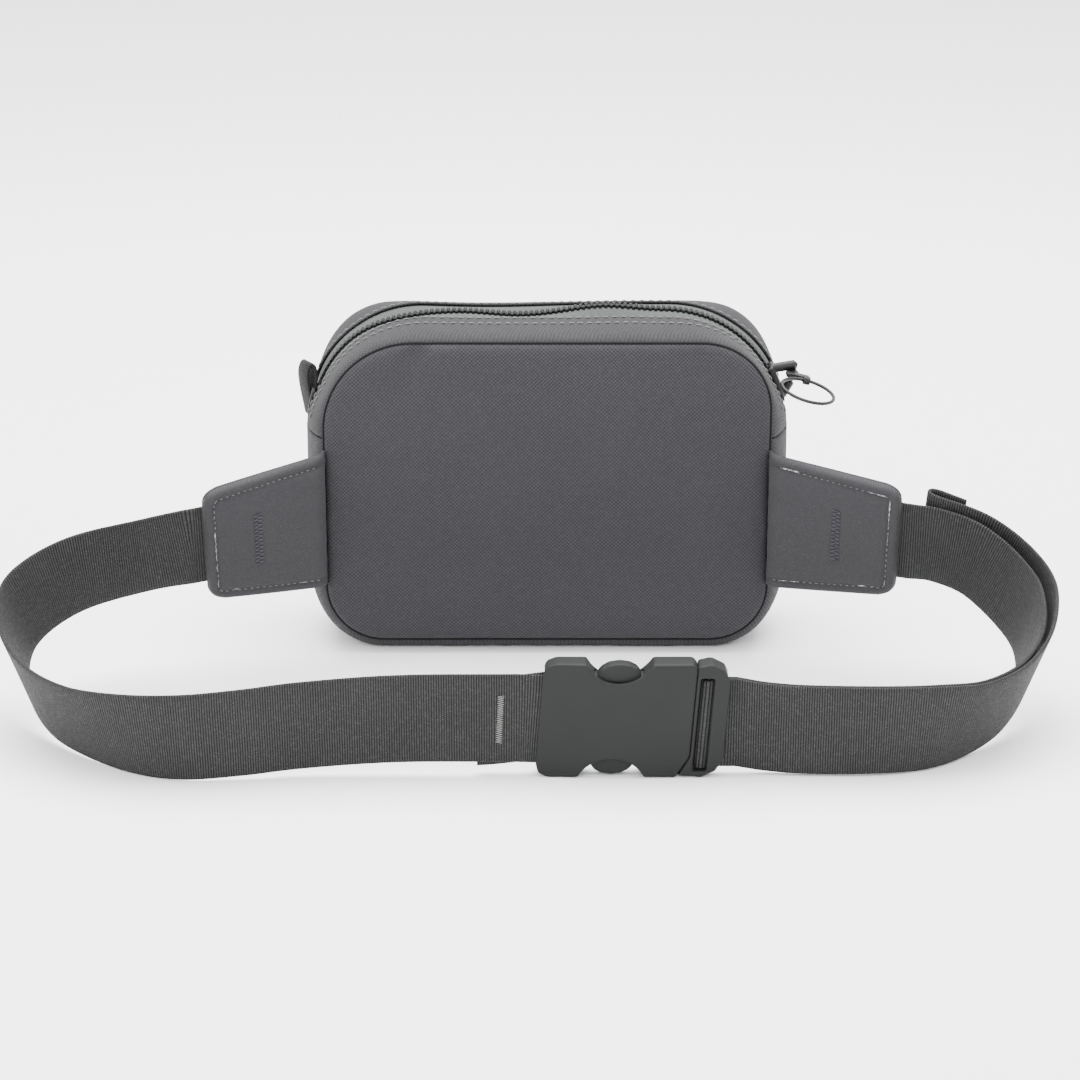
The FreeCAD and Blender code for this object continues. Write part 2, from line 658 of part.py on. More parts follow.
def buckle_male():
    h = BK_W / 2
    y0, y1 = BK_Y - CAV_T + PLUG_FIT, BK_Y + CAV_T - PLUG_FIT
    x0, x1 = SOCK_X1 + GAP, PLUG_END_X
    c = 8.0
    sx, sz = SHOULDER
    pts = [(x0 - sx + 0.9, BK_Z - h + 0.8), (x1 - c, BK_Z - h + 0.4), (x1 - 2.6, BK_Z - h + 3.0),
           (x1, BK_Z - h + c), (x1, BK_Z + h - c), (x1 - 2.6, BK_Z + h - 3.0),
           (x1 - c, BK_Z + h - 0.4), (x0, BK_Z + h - 1.5), (x0, BK_Z - h + sz)]
    frame = slab(pts, BK_Y - BK_T / 2 + 1.0, BK_Y + BK_T / 2 - 1.0)
    z0, z1 = RIGHT_END[2] - WEB / 2 - 0.8, RIGHT_END[2] + WEB / 2 + 1.6
    frame = frame.cut(box(PLUG_SLOT_X, PLUG_REIN_X, BK_Y - 9, BK_Y + 9, z0, z1))
    under = BK_Y - FOLD_R + 3 * GAP
    frame = frame.cut(box(PLUG_REIN_X - 1, x1 + 5, under, BK_Y + 9, z0, z1))
    bar = Part.makeCylinder(BAR_R, z1 - z0 + 2, V(PLUG_BAR_X, BK_Y, z0 - 1))
    base = box(46.0, x0 + 0.5, y0, y1, BK_Z - CAV_H + PLUG_FIT, BK_Z + CAV_H - PLUG_FIT)
    tongue = slab([(47.0, BK_Z - 3.4), (14.0, BK_Z - 2.4), (11.0, BK_Z - 1.0),
                   (11.0, BK_Z + 1.0), (14.0, BK_Z + 2.4), (47.0, BK_Z + 3.4)], y0, y1)
    body = fuse([frame, bar, base, tongue])
    for s in (1, -1):
        z = BK_Z + s * LATCH_Z
        body = body.cut(Part.makeCylinder(2.6, 30, V(LATCH_X, BK_Y - 15, z), V(0, 1, 0)))
        za, zb = sorted((BK_Z + s * 5.0, BK_Z + s * BK_W))
        body = body.cut(box(40.0, LATCH_X, BK_Y - 9, BK_Y + 9, za, zb))
    return body


def latch(side):
    """Springy arm: round root, straight arm and the squeeze pad that fills the side window."""
    y0, y1 = BK_Y - CAV_T + PLUG_FIT, BK_Y + CAV_T - PLUG_FIT
    def z(v):
        return BK_Z + side * v
    root = Part.makeCylinder(2.3, y1 - y0, V(LATCH_X, y0, z(LATCH_Z)), V(0, 1, 0))
    side_z = CAV_H - 0.9            # outer edge of the arm, inside the cavity's wall
    arm = slab([(LATCH_X, z(LATCH_Z - 1.6)), (36.0, z(side_z - 3.4)), (16.5, z(side_z - 2.0)),
                (16.5, z(side_z)), (38.0, z(side_z)), (LATCH_X, z(LATCH_Z + 1.6))], y0, y1)
    pad = [(-8.4, -1.6), (-8.2, 0.8), (-6.6, 2.8), (-4.0, 4.3), (0.0, 4.9),
           (4.0, 4.3), (6.8, 2.8), (8.2, 1.0), (8.2, -1.6)]
    lens = slab([(WIN_X + x, z(side_z + h)) for x, h in pad], y0, y1)
    return fuse([root, arm, lens])


def main():
    os.makedirs("parts", exist_ok=True)
    shell = gusset_shell()
    nodes = {
        "back_panel": panel(-1, BACK_CROWN),
        "front_panel": panel(1, FRONT_CROWN),
        "back_foam_pad": back_foam(),
        "lower_gusset": lower_gusset(shell),
        "zip_strip_rear": zip_strip(shell, -1),
        "zip_strip_front": zip_strip(shell, 1),
        "zip_end_left": zip_end(shell, -1, ZIP_FLAP_LEFT),
        "zip_end_right": zip_end(shell, 1, ZIP_PANEL_Z + ZIP_FLAP_RIGHT),
        "rear_seam_binding": seam_binding(-1),
        "front_seam_binding": seam_binding(1),
        "lining": lining(),
        "zipper_tape_rear": tape(-1),
        "zipper_tape_front": tape(1),
        "zipper_teeth_rear": teeth(-1),
        "zipper_teeth_front": teeth(1),
        "end_stop_rear": end_stop(-1),
        "end_stop_front": end_stop(1),
        "bottom_stop": bottom_stop(),
        "slider_body": slider(),
        "puller_tab": puller_tab(),
        "pull_ring": pull_ring(),
        "grab_loop": grab_loop(),
        "left_strap": left_strap(),
        "right_strap": right_strap(),
        "buckle_female": buckle_female(),
        "buckle_male": buckle_male(),
        "latch_upper": latch(1),
        "latch_lower": latch(-1),
    }
    for side, name in ((-1, "left"), (1, "right")):
        front, foam, rear = wing_parts(side)
        nodes[name + "_wing_inner_cover"] = front
        nodes[name + "_wing_foam"] = foam
        nodes[name + "_wing_outer_cover"] = rear
    for name, shape in nodes.items():
        shape.exportStep("parts/" + name + ".step")


main()
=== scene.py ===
import math
from math import cos, pi, radians, sin

import bpy
import numpy as np
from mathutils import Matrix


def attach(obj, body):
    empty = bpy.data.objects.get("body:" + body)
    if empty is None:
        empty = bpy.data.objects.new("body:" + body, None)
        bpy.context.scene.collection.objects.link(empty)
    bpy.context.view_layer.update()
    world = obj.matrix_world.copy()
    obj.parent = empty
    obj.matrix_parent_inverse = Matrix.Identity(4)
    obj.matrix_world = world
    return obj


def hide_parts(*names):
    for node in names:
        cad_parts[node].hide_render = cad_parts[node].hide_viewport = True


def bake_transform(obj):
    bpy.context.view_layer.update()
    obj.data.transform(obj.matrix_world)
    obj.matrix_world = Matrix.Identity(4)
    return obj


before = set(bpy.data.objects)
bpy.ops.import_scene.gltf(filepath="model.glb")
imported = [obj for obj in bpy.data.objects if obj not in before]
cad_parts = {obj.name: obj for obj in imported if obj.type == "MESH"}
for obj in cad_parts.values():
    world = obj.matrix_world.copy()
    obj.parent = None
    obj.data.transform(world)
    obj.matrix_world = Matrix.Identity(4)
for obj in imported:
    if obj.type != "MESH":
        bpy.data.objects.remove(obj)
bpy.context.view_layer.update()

MM = 0.001              # every length below is in millimetres

# pouch, as in the CAD model
HALF_W, POUCH_H, HALF_D = 105.0, 151.0, 28.0
TOP_R, LOW_R = 54.0, 32.0
TOP_SAG, SIDE_SAG = 48.0, 53.0
SEAM_LIFT, BASE_CUT = 5.0, 0.5
SEAM_TOP_R = (40.0, 31.0)   # left and right upper corner at the rear seam
FRONT_TOP_R = (28.0, 27.0)  # the same at the front seam, where the pouch is fuller
SEAM_LOW_R = 26.0
WALL = 1.4
BACK_CROWN, FRONT_CROWN = 4.0, 8.0
ZIP_PANEL_Z = 98.0
FOLD_Y = 8.6            # folded edge of each zip strip from the centre line
ARC_X, ARC_Z = HALF_W - TOP_R, POUCH_H - TOP_R
CHAIN_R = TOP_R - 3.2
FOOT_R = 53.0           # where the slider's crown stands on its body
PITCH = 2.4             # of the teeth
MID_Z = 70.0            # height that the outward side of every wall is judged from
LINING_IN, LINING_Y = 6.2, 24.0     # lining inside the outline, and its end walls
BINDING_IN, BINDING_Y = 3.8, 25.8   # bound seam allowance inside the pouch
SIDES = ((-1, "rear"), (1, "front"))
PIVOT = np.array([107.0, 0.0, 119.63])
LEAN = radians(15.0)
PULL = np.array([cos(LEAN), 0.0, -sin(LEAN)])
BAR = np.array([sin(LEAN), 0.0, cos(LEAN)])
RING_OFF, RING_Y, RING_R, WIRE_R = 5.8, -7.6, 11.6, 0.75
RING_TILT = radians(6.0)

# wings
WING_X, WING_Y, WING_Z = 98.6, -29.2, 62.5
WING_LEN = {-1: 53.0, 1: 57.0}
WING_ROOT, WING_END = 30.5, 27.0
WING_RUN = {-1: (-50.0, -20.0, -3.5), 1: (50.0, -20.0, -1.0)}
WING_LEAN = 14.0
WING_SEAM_D = 4.0       # depth of the seam between its covers, where it is thickest
WING_TACK = 30.0        # bar tack that holds the webbing, from the root
SEAM_IN = 4.4           # edge stitching from the wing's edge
WING_TUCK = 2.6         # how far the root is tucked into the pouch's seam

# belt
WEB_HALF, WEB_T = 19.0, 1.6
LEFT_PATH = [(-172, -56, 55.0, 18, -0.08), (-199, -67, 51.0, 18, -0.18), (-216.5, -80, 44.0, 18, -0.24),
             (-222.5, -93, 36.5, 18, -0.25), (-219, -113, 27.5, 20, -0.25), (-207, -133, 20.5, 20, -0.2),
             (-189, -151, 18.6, 20, -0.12), (-168, -163, 18.7, 12, -0.05), (-146, -168, 19.3, 5, 0),
             (-122, -166, 20.5, 3, 0), (-98, -162, 22.0, 2, 0), (-60, -160, 24.0, 1, 0)]
RIGHT_PATH = [(166, -57, 60.0, 17, 0.08), (181, -65, 56.0, 18, 0.12), (194.5, -77, 46.5, 18, 0.17),
              (201, -92, 38.5, 18, 0.2), (198.5, -113, 29.5, 20, 0.24), (188, -132, 22.2, 20, 0.22),
              (172, -147, 19.3, 18, 0.12), (154, -156.5, 19.4, 8, 0.04), (132, -160.5, 19.7, 3, 0),
              (104, -160.0, 19.7, 1, 0), (88, -158.6, 20.4, 1, 0)]

# buckle
BK_Y, BK_Z = -159.0, 24.4
LEFT_BAR = (2.6, BK_Y + 0.4)
PLUG_BAR = (62.7, BK_Y)
PLUG_PAST = 66.3        # where the webbing has passed the plug's end bar
PLUG_END = 75.3
HOOK_R = 2.5            # middle of the webbing round a bar
BK_SKEW = 0.075         # the buckle hangs a little askew: its top edge sits further right


# ---------------------------------------------------------------- camera, floor, light

def setup_view():
    cam = bpy.data.objects.new("camera", bpy.data.cameras.new("camera"))
    cam.location = (-0.003, -1.3436, 0.5308)
    cam.rotation_euler = (radians(70.0), 0, 0)
    cam.data.sensor_width = 36.0
    cam.data.lens = 107.33
    bpy.context.collection.objects.link(cam)
    bpy.context.scene.camera = cam


def area_light(name, place, aim, size, power):
    light = bpy.data.lights.new(name, "AREA")
    light.shape = "RECTANGLE"
    light.size, light.size_y = size
    light.energy = power
    obj = bpy.data.objects.new(name, light)
    bpy.context.collection.objects.link(obj)
    obj.location = place
    way = np.array(aim) - np.array(place)
    yaw = math.atan2(way[1], way[0]) - pi / 2
    pitch = math.atan2(way[2], math.hypot(way[0], way[1])) + pi / 2
    obj.rotation_euler = (pitch, 0, yaw)


def setup_light():
    world = bpy.data.worlds.new("studio")
    bpy.context.scene.world = world
    world.use_nodes = True
    back = world.node_tree.nodes["Background"]
    back.inputs["Color"].default_value = (1.0, 1.0, 1.0, 1.0)
    back.inputs["Strength"].default_value = 2.5
    area_light("top_softbox", (0.0, 0.25, 1.2), (0.0, -0.02, 0.0), (1.5, 1.1), 60.0)
    area_light("front_fill", (-0.5, -1.5, 1.0), (0.0, 0.0, 0.05), (1.2, 0.9), 16.0)


# ---------------------------------------------------------------- materials

class Shader:
    """A node material with a few short-hands."""

    def __init__(self, name):
        self.mat = bpy.data.materials.new(name)
        self.mat.use_nodes = True
        self.tree = self.mat.node_tree
        self.bsdf = self.tree.nodes["Principled BSDF"]

    def put(self, socket, value):
        if isinstance(value, bpy.types.NodeSocket):
            self.tree.links.new(value, socket)
        elif value is not None:
            socket.default_value = value

    def node(self, kind, out=0, **values):
        n = self.tree.nodes.new(kind)
        for key, value in values.items():
            if key.startswith("p_"):
                setattr(n, key[2:], value)
            else:
                self.put(n.inputs[key.replace("_", " ")], value)
        return n.outputs[out]

    def math(self, op, a, b=None, c=None):
        n = self.tree.nodes.new("ShaderNodeMath")
        n.operation = op
        for socket, value in zip(n.inputs, (a, b, c)):
            self.put(socket, value)
        return n.outputs[0]

    def add(self, a, b):
        return self.math("ADD", a, b)

    def mul(self, a, b):
        return self.math("MULTIPLY", a, b)

    def madd(self, a, b, c):
        return self.math("MULTIPLY_ADD", a, b, c)

    def vector(self, x, y, z=0.0):
        return self.node("ShaderNodeCombineXYZ", X=x, Y=y, Z=z)

    def mix(self, factor, a, b):
        n = self.tree.nodes.new("ShaderNodeMix")
        n.data_type = "RGBA"
        for socket, value in ((n.inputs[0], factor), (n.inputs[6], a), (n.inputs[7], b)):
            self.put(socket, value)
        return n.outputs[2]

    def clamp(self, value):
        return self.math("MINIMUM", self.math("MAXIMUM", value, 0.0), 1.0)

    def waves(self, coord):
        return self.math("SINE", self.mul(coord, pi))

    def clouded(self, shade, scale, strength):
        """The shade, made uneven over broad patches."""
        cloud = self.noise(self.place(), scale, 3.0)
        return self.add(shade, self.madd(cloud, 2 * strength, -strength))

    def rubbed(self, start, gain):
        """Grows from 0 on convex edges, where a hard part is rubbed."""
        edge = self.node("ShaderNodeNewGeometry", out=7)
        return self.mul(self.math("MAXIMUM", self.math("SUBTRACT", edge, start), 0.0), gain)

    def uv(self):
        out = self.node("ShaderNodeUVMap", p_uv_map="UVMap")
        sep = self.tree.nodes.new("ShaderNodeSeparateXYZ")
        self.put(sep.inputs[0], out)
        return sep.outputs[0], sep.outputs[1]

    def noise(self, coords, scale, detail=2.0, rough=0.5):
        n = self.tree.nodes.new("ShaderNodeTexNoise")
        self.put(n.inputs["Vector"], coords)
        n.inputs["Scale"].default_value = scale
        n.inputs["Detail"].default_value = detail
        n.inputs["Roughness"].default_value = rough
        return n.outputs[0]

    def place(self):
        n = self.tree.nodes.new("ShaderNodeTexCoord")
        return n.outputs["Object"]

    def bump(self, height, distance, strength=1.0, normal=None):
        n = self.tree.nodes.new("ShaderNodeBump")
        n.inputs["Strength"].default_value = strength
        n.inputs["Distance"].default_value = distance * MM
        self.put(n.inputs["Height"], height)
        self.put(n.inputs["Normal"], normal)
        return n.outputs[0]

    def finish(self, color, rough, normal, sheen=0.0, metal=0.0, spec=0.5):
        b = self.bsdf.inputs
        self.put(b["Base Color"], color)
        self.put(b["Roughness"], rough)
        self.put(b["Normal"], normal)
        b["Sheen Weight"].default_value = sheen
        b["Metallic"].default_value = metal
        b["Specular IOR Level"].default_value = spec
        return self.mat


DIM = 0.32               # how much darker the dyes are than they look under the bright studio light


def grey(r, g, b):
    """Linear dye colour of an sRGB one in 0..255."""
    def lin(v):
        v /= 255.0
        return DIM * (v / 12.92 if v <= 0.04045 else ((v + 0.055) / 1.055) ** 2.4)
    return (lin(r), lin(g), lin(b), 1.0)


def cloth(name, dark, light, pitch=(0.85, 0.8), depth=0.16, fleck=0.12):
    """Plain weave: every crossing is a small bump, and single threads catch the light."""
    s = Shader(name)
    u, v = s.uv()
    u = s.math("DIVIDE", u, pitch[0])
    v = s.math("DIVIDE", v, pitch[1])
    wander = s.mul(s.noise(s.vector(u, v), 0.06), 0.5)
    u = s.add(u, wander)
    height = s.madd(s.mul(s.waves(u), s.waves(v)), 0.5, 0.5)
    cell = s.node("ShaderNodeTexWhiteNoise", p_noise_dimensions="2D",
                  Vector=s.vector(s.math("FLOOR", u), s.math("FLOOR", v)))
    spark = s.mul(s.math("POWER", cell, 3.0), fleck)
    shade = s.add(s.mul(height, 0.75), spark)
    color = s.mix(s.clamp(s.clouded(shade, 26.0, 0.07)), dark, light)
    rough = s.madd(cell, -0.1, 0.85)
    return s.finish(color, rough, s.bump(height, depth, 0.75), sheen=0.03, spec=0.12)


def webbing(name, dark, light, rib=1.0, thread=0.85, depth=0.3):
    """Ribs across the band, each of short staggered threads, with dark lines between them."""
    s = Shader(name)
    u, v = s.uv()
    u = s.math("DIVIDE", u, rib)
    u = s.add(u, s.mul(s.noise(s.vector(u, v), 0.05), 0.5))
    row = s.math("FLOOR", u)
    step = s.mul(s.math("PINGPONG", row, 1.0), 0.5)
    v = s.add(s.math("DIVIDE", v, thread), step)
    ridge = s.math("POWER", s.math("ABSOLUTE", s.waves(u)), 0.8)
    lay = s.math("ABSOLUTE", s.waves(v))
    height = s.mul(ridge, s.madd(lay, 0.35, 0.65))
    cell = s.node("ShaderNodeTexWhiteNoise", p_noise_dimensions="2D",
                  Vector=s.vector(row, s.math("FLOOR", v)))
    spark = s.mul(s.math("POWER", cell, 4.0), s.mul(lay, 0.3))
    shade = s.add(s.madd(height, 1.05, -0.22), spark)
    color = s.mix(s.clamp(s.clouded(shade, 30.0, 0.12)), dark, light)
    rough = s.madd(cell, -0.15, 0.75)
    return s.finish(color, rough, s.bump(height, depth, 0.9), sheen=0.03, spec=0.1)


def plastic(name, base, worn, rough=0.5, grain=0.05):
    """Spark-eroded moulded plastic: fine matte grain, slightly paler where it is rubbed."""
    s = Shader(name)
    at = s.place()
    fine = s.noise(at, 2600.0, 2.0, 0.6)
    broad = s.noise(at, 45.0, 3.0)
    tone = s.add(s.mul(broad, 0.5), s.mul(fine, 0.3))
    color = s.mix(s.math("MINIMUM", s.add(tone, s.rubbed(0.52, 5.0)), 1.0), base, worn)
    rough = s.madd(broad, 0.14, rough)
    return s.finish(color, rough, s.bump(fine, grain, 0.6), spec=0.15)


def metal(name, base, worn):
    """Dark enamel on cast metal, rubbed paler along the edges."""
    s = Shader(name)
    fine = s.noise(s.place(), 900.0, 3.0, 0.6)
    tone = s.add(s.mul(fine, 0.3), s.rubbed(0.54, 6.0))
    color = s.mix(s.math("MINIMUM", tone, 1.0), base, worn)
    rough = s.madd(fine, 0.2, 0.38)
    return s.finish(color, rough, s.bump(fine, 0.02, 0.5), metal=0.3)


def thread_look(name, dark, light):
    """Twisted polyester thread."""
    s = Shader(name)
    twist = s.node("ShaderNodeTexWave", Vector=s.place(), Scale=900.0, Distortion=2.0, out=1)
    tone = s.madd(s.noise(s.place(), 300.0), 0.6, s.mul(twist, 0.3))
    color = s.mix(tone, dark, light)
    return s.finish(color, 0.7, s.bump(twist, 0.05, 0.5), sheen=0.1)


def foam_look(name, tone):
    s = Shader(name)
    cells = s.node("ShaderNodeTexVoronoi", Vector=s.place(), Scale=1100.0)
    pale = tuple(c * 1.25 for c in tone[:3]) + (1.0,)
    return s.finish(s.mix(cells, pale, tone), 0.95, s.bump(cells, 0.15, 0.6))


def floor_look():
    s = Shader("floor_paper")
    grain = s.noise(s.place(), 60.0, 4.0)
    color = s.mix(grain, (0.93, 0.93, 0.93, 1.0), (0.96, 0.96, 0.96, 1.0))
    return s.finish(color, 0.9, s.bump(grain, 0.1, 0.2), spec=0.2)


# ---------------------------------------------------------------- mesh helpers

def unit(v):
    v = np.asarray(v, float)
    return v / np.maximum(np.linalg.norm(v, axis=-1, keepdims=True), 1e-9)


def hill(x, at, wide):
    """Smooth bump of height 1."""
    return np.exp(-((x - at) / wide) ** 2)


def along(line):
    """Distance of each point from the first, measured along the line."""
    return np.concatenate([[0], np.cumsum(np.linalg.norm(np.diff(line, axis=0), axis=1))])


def tangents(line):
    return unit(np.gradient(line, axis=0))


def at_depth(xz, y):
    """x, z points as x, y, z ones."""
    return np.stack([xz[:, 0], np.full(len(xz), y), xz[:, 1]], axis=1)


def rim_distance(x, z, rim):
    """Distance of each grid point from the nearest point of a rim."""
    dist = np.full(np.shape(x), 1e9)
    for chunk in np.array_split(rim, 12):
        near = np.hypot(x[..., None] - chunk[:, 0], z[..., None] - chunk[:, 1]).min(-1)
        dist = np.minimum(dist, near)
    return dist


def build(name, verts, faces, uv=None, mat=None, smooth=True):
    """Mesh object from millimetres; uv holds one pair per face corner."""
    mesh = bpy.data.meshes.new(name)
    mesh.from_pydata((np.asarray(verts, float) * MM).tolist(), [], faces)
    if uv is None:
        uv = np.zeros((len(mesh.loops), 2))
    mesh.uv_layers.new(name="UVMap").data.foreach_set("uv", np.asarray(uv, np.float32).ravel())
    mesh.polygons.foreach_set("use_smooth", [smooth] * len(mesh.polygons))
    mesh.update()
    obj = bpy.data.objects.new(name, mesh)
    bpy.context.collection.objects.link(obj)
    if mat:
        mesh.materials.append(mat)
    return obj


def grid_faces(n, m, wrap=False):
    """Quads of an n by m grid of points and, for their corners, rows and columns."""
    cols = m if wrap else m - 1
    i, j = np.meshgrid(np.arange(n - 1), np.arange(cols), indexing="ij")
    i, j = i.ravel(), j.ravel()
    k = (j + 1) % m
    faces = np.stack([i * m + j, i * m + k, (i + 1) * m + k, (i + 1) * m + j], axis=1)
    rows = np.stack([i, i, i + 1, i + 1], axis=1)
    columns = np.stack([j, j + 1, j + 1, j], axis=1)
    return faces, rows, columns


def stack_faces(base, rings, n):
    """Walls and end caps of a stack of n-point rings, numbered from base."""
    faces = []
    for j in range(rings - 1):
        low = base + j * n
        for q in range(n):
            r = (q + 1) % n
            faces.append([low + q, low + r, low + n + r, low + n + q])
    faces.append([base + q for q in range(n)][::-1])
    faces.append([base + (rings - 1) * n + q for q in range(n)])
    return faces


def give_body(obj, thick):
    """Thickness below the surface."""
    mod = obj.modifiers.new("body", "SOLIDIFY")
    mod.thickness = thick * MM
    mod.offset = -1.0
    mod.use_even_offset = False


def grid(name, points, uv, mat, wrap=False, flip=False, thick=None):
    """Sheet through a grid of points; thick gives it body below its surface."""
    n, m = points.shape[:2]
    faces, rows, cols = grid_faces(n, m, wrap)
    corner = uv[rows, cols]
    if flip:
        faces, corner = faces[:, ::-1], corner[:, ::-1]
    obj = build(name, points.reshape(-1, 3), faces.tolist(), corner.reshape(-1, 2), mat)
    if thick:
        give_body(obj, thick)
    return obj


def coons(bottom, right, top, left):
    """Grid filling four boundary curves."""
    n, m = len(left), len(bottom)
    u = np.linspace(0, 1, m)[None, :, None]
    v = np.linspace(0, 1, n)[:, None, None]
    edge = (1 - v) * bottom[None] + v * top[None] + (1 - u) * left[:, None] + u * right[:, None]
    corners = ((1 - u) * (1 - v) * bottom[0] + u * (1 - v) * bottom[-1]
               + (1 - u) * v * top[0] + u * v * top[-1])
    return edge - corners


def resample(points, n):
    """n points evenly spaced along a polyline."""
    points = np.asarray(points, float)
    s = along(points)
    t = np.linspace(0, s[-1], n)
    return np.stack([np.interp(t, s, points[:, k]) for k in range(points.shape[1])], axis=1)


def smooth_noise(x, y, seed, size):
    """Low, repeatable unevenness made of a few sine waves."""
    rng = np.random.default_rng(seed)
    out = np.zeros(np.broadcast(x, y).shape)
    for _ in range(9):
        a = rng.uniform(0, 2 * pi)
        k = 2 * pi / (size * rng.uniform(0.7, 1.8))
        out += np.sin(k * (x * cos(a) + y * sin(a)) + rng.uniform(0, 6.28))
    return out / 9.0


def catmull(rows, n):
    """Smooth curve through every row."""
    q = np.asarray(rows, float)
    q = np.concatenate([[2 * q[0] - q[1]], q, [2 * q[-1] - q[-2]]])
    out = []
    for i in range(1, len(q) - 2):
        a, b, c, d = q[i - 1], q[i], q[i + 1], q[i + 2]
        for t in np.arange(n) / n:
            out.append(0.5 * (2 * b + (c - a) * t + (2 * a - 5 * b + 4 * c - d) * t * t
                              + (3 * b - a - 3 * c + d) * t ** 3))
    out.append(q[-2])
    return np.array(out)


def sweep(name, path, profile, mat, up=None, close=False):
    """Profile (across, out) swept along a path; up holds the across direction at each point."""
    path = np.asarray(path, float)
    if close:
        t = unit(np.roll(path, -1, 0) - np.roll(path, 1, 0))
    else:
        t = tangents(path)
    up = np.broadcast_to(np.asarray(up, float), path.shape)
    out = unit(np.cross(t, up))
    profile = np.asarray(profile, float)
    ring = path[:, None] + up[:, None] * profile[None, :, :1] + out[:, None] * profile[None, :, 1:2]
    k, m = len(path), len(profile)
    around = along(np.concatenate([profile, profile[:1]]))
    run = along(path)
    if close:
        ring = np.concatenate([ring, ring[:1]])
        run = np.append(run, run[-1] + np.linalg.norm(path[0] - path[-1]))
    uv = np.stack(np.meshgrid(run, around, indexing="ij"), axis=2)
    faces, rows, cols = grid_faces(len(ring), m, True)
    corner = uv[rows, cols].reshape(-1, 2).tolist()
    verts = ring.reshape(-1, 3)
    if close:
        faces = faces % (k * m)
        verts = verts[:k * m]
    faces = faces.tolist()
    if not close:
        faces += [list(range(m))[::-1], [(k - 1) * m + j for j in range(m)]]
        corner += [[0.0, float(around[j])] for j in range(m)][::-1]
        corner += [[float(run[-1]), float(around[j])] for j in range(m)]
    return build(name, verts, faces, corner, mat)


def tube_profile(r, n=8):
    a = np.arange(n) / n * 2 * pi
    return np.stack([r * np.cos(a), r * np.sin(a)], axis=1)


def join(name, parts):
    """One object out of several, keeping their materials and UVs."""
    with bpy.context.temp_override(active_object=parts[0], selected_editable_objects=parts):
        bpy.ops.object.join()
    parts[0].name = parts[0].data.name = name
    return parts[0]


def baked(obj):
    """The object with its modifiers applied."""
    deps = bpy.context.evaluated_depsgraph_get()
    mesh = bpy.data.meshes.new_from_object(obj.evaluated_get(deps))
    obj.modifiers.clear()
    obj.data = mesh
    return obj


def thread(name, path, normal, radius, mat):
    """Sewing thread laid along a path on a surface."""
    across = unit(np.cross(normal, tangents(path)))
    return sweep(name, path, tube_profile(radius, 6), mat, across)


def stitches(name, line, normal, mat, pitch=3.9, fill=0.66, radius=0.28, lift=0.2):
    """A row of lockstitches along a line; each thread dives into the cloth at both ends."""
    line, normal = np.asarray(line), np.asarray(normal)
    step = along(line)
    count = int(step[-1] / pitch)
    verts, faces = [], []
    ring = 6
    spans = np.array([0.0, 0.12, 0.5, 0.88, 1.0])
    heights = np.array([-1.6, 0.35, 1.0, 0.35, -1.6]) * radius
    radii = np.array([0.55, 0.95, 1.0, 0.95, 0.55]) * radius
    a = np.arange(ring) / ring * 2 * pi
    for i in range(count):
        at = (i + 0.5 + (spans - 0.5) * fill) * pitch
        p = np.stack([np.interp(at, step, line[:, k]) for k in range(3)], axis=1)
        n = unit(np.stack([np.interp(at, step, normal[:, k]) for k in range(3)], axis=1))
        side = unit(np.cross(n, tangents(p)))
        mid = p + n * (heights + lift)[:, None]
        faces += stack_faces(len(verts), len(spans), ring)
        for j in range(len(spans)):
            for q in a:
                verts.append(mid[j] + radii[j] * (side[j] * cos(q) + n[j] * sin(q)))
    return build(name, verts, faces, None, mat)


def moulded(name, node, voxel, rounds, mat, skew=0.0, swell=0.0, extra=()):
    """Rounded copy of a CAD piece: remeshed finely and its edges eased."""
    obj = bpy.data.objects.new(name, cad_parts[node].data.copy())
    bpy.context.collection.objects.link(obj)
    if extra:
        obj = join(name, [obj] + list(extra))
    obj.data.materials.clear()
    mod = obj.modifiers.new("remesh", "REMESH")
    mod.mode = "VOXEL"
    mod.voxel_size = voxel * MM
    mod.use_smooth_shade = True
    ease = obj.modifiers.new("ease", "SMOOTH")
    ease.factor = 0.5
    ease.iterations = rounds
    if swell:
        puffed = obj.modifiers.new("swell", "DISPLACE")
        puffed.strength = swell * MM
        puffed.mid_level = 0.0
    baked(obj)
    obj.data.materials.clear()
    obj.data.materials.append(mat)
    co = np.zeros(len(obj.data.vertices) * 3)
    obj.data.vertices.foreach_get("co", co)
    co = co.reshape(-1, 3)
    co[:, 0] += (co[:, 2] - BK_Z * MM) * skew
    obj.data.vertices.foreach_set("co", co.ravel())
    obj.data.polygons.foreach_set("use_smooth", [True] * len(obj.data.polygons))
    obj.data.update()
    return obj


def place(obj, body, slot, *nodes):
    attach(obj, body)
    if nodes:
        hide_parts(*nodes)
    return obj


# ---------------------------------------------------------------- pouch shape

def dome(r, y):
    return r - math.sqrt(r * r - y * y)


def zip_dip(x, y):
    """How far the soft top sinks at the zip, more on the wearer's side."""
    k = 1 - (y / HALF_D) ** 2
    if y < 0:
        return (3.2 + 0.5 * hill(x, -12, 26)) * k
    return (1.1 + 1.4 * hill(x, -25, 35)) * k


def dip_move(at, normal, y):
    """Where the sinking top moves outline points: straight down in front, inward on the wearer's side."""
    if y < 0:
        return normal * (zip_dip(at[:, 0], y) * np.clip((at[:, 1] - 104) / 16, 0, 1))[:, None]
    down = zip_dip(at[:, 0], y) * np.clip((at[:, 1] - 118) / 22, 0, 1)
    return np.stack([0 * down, down], axis=1)


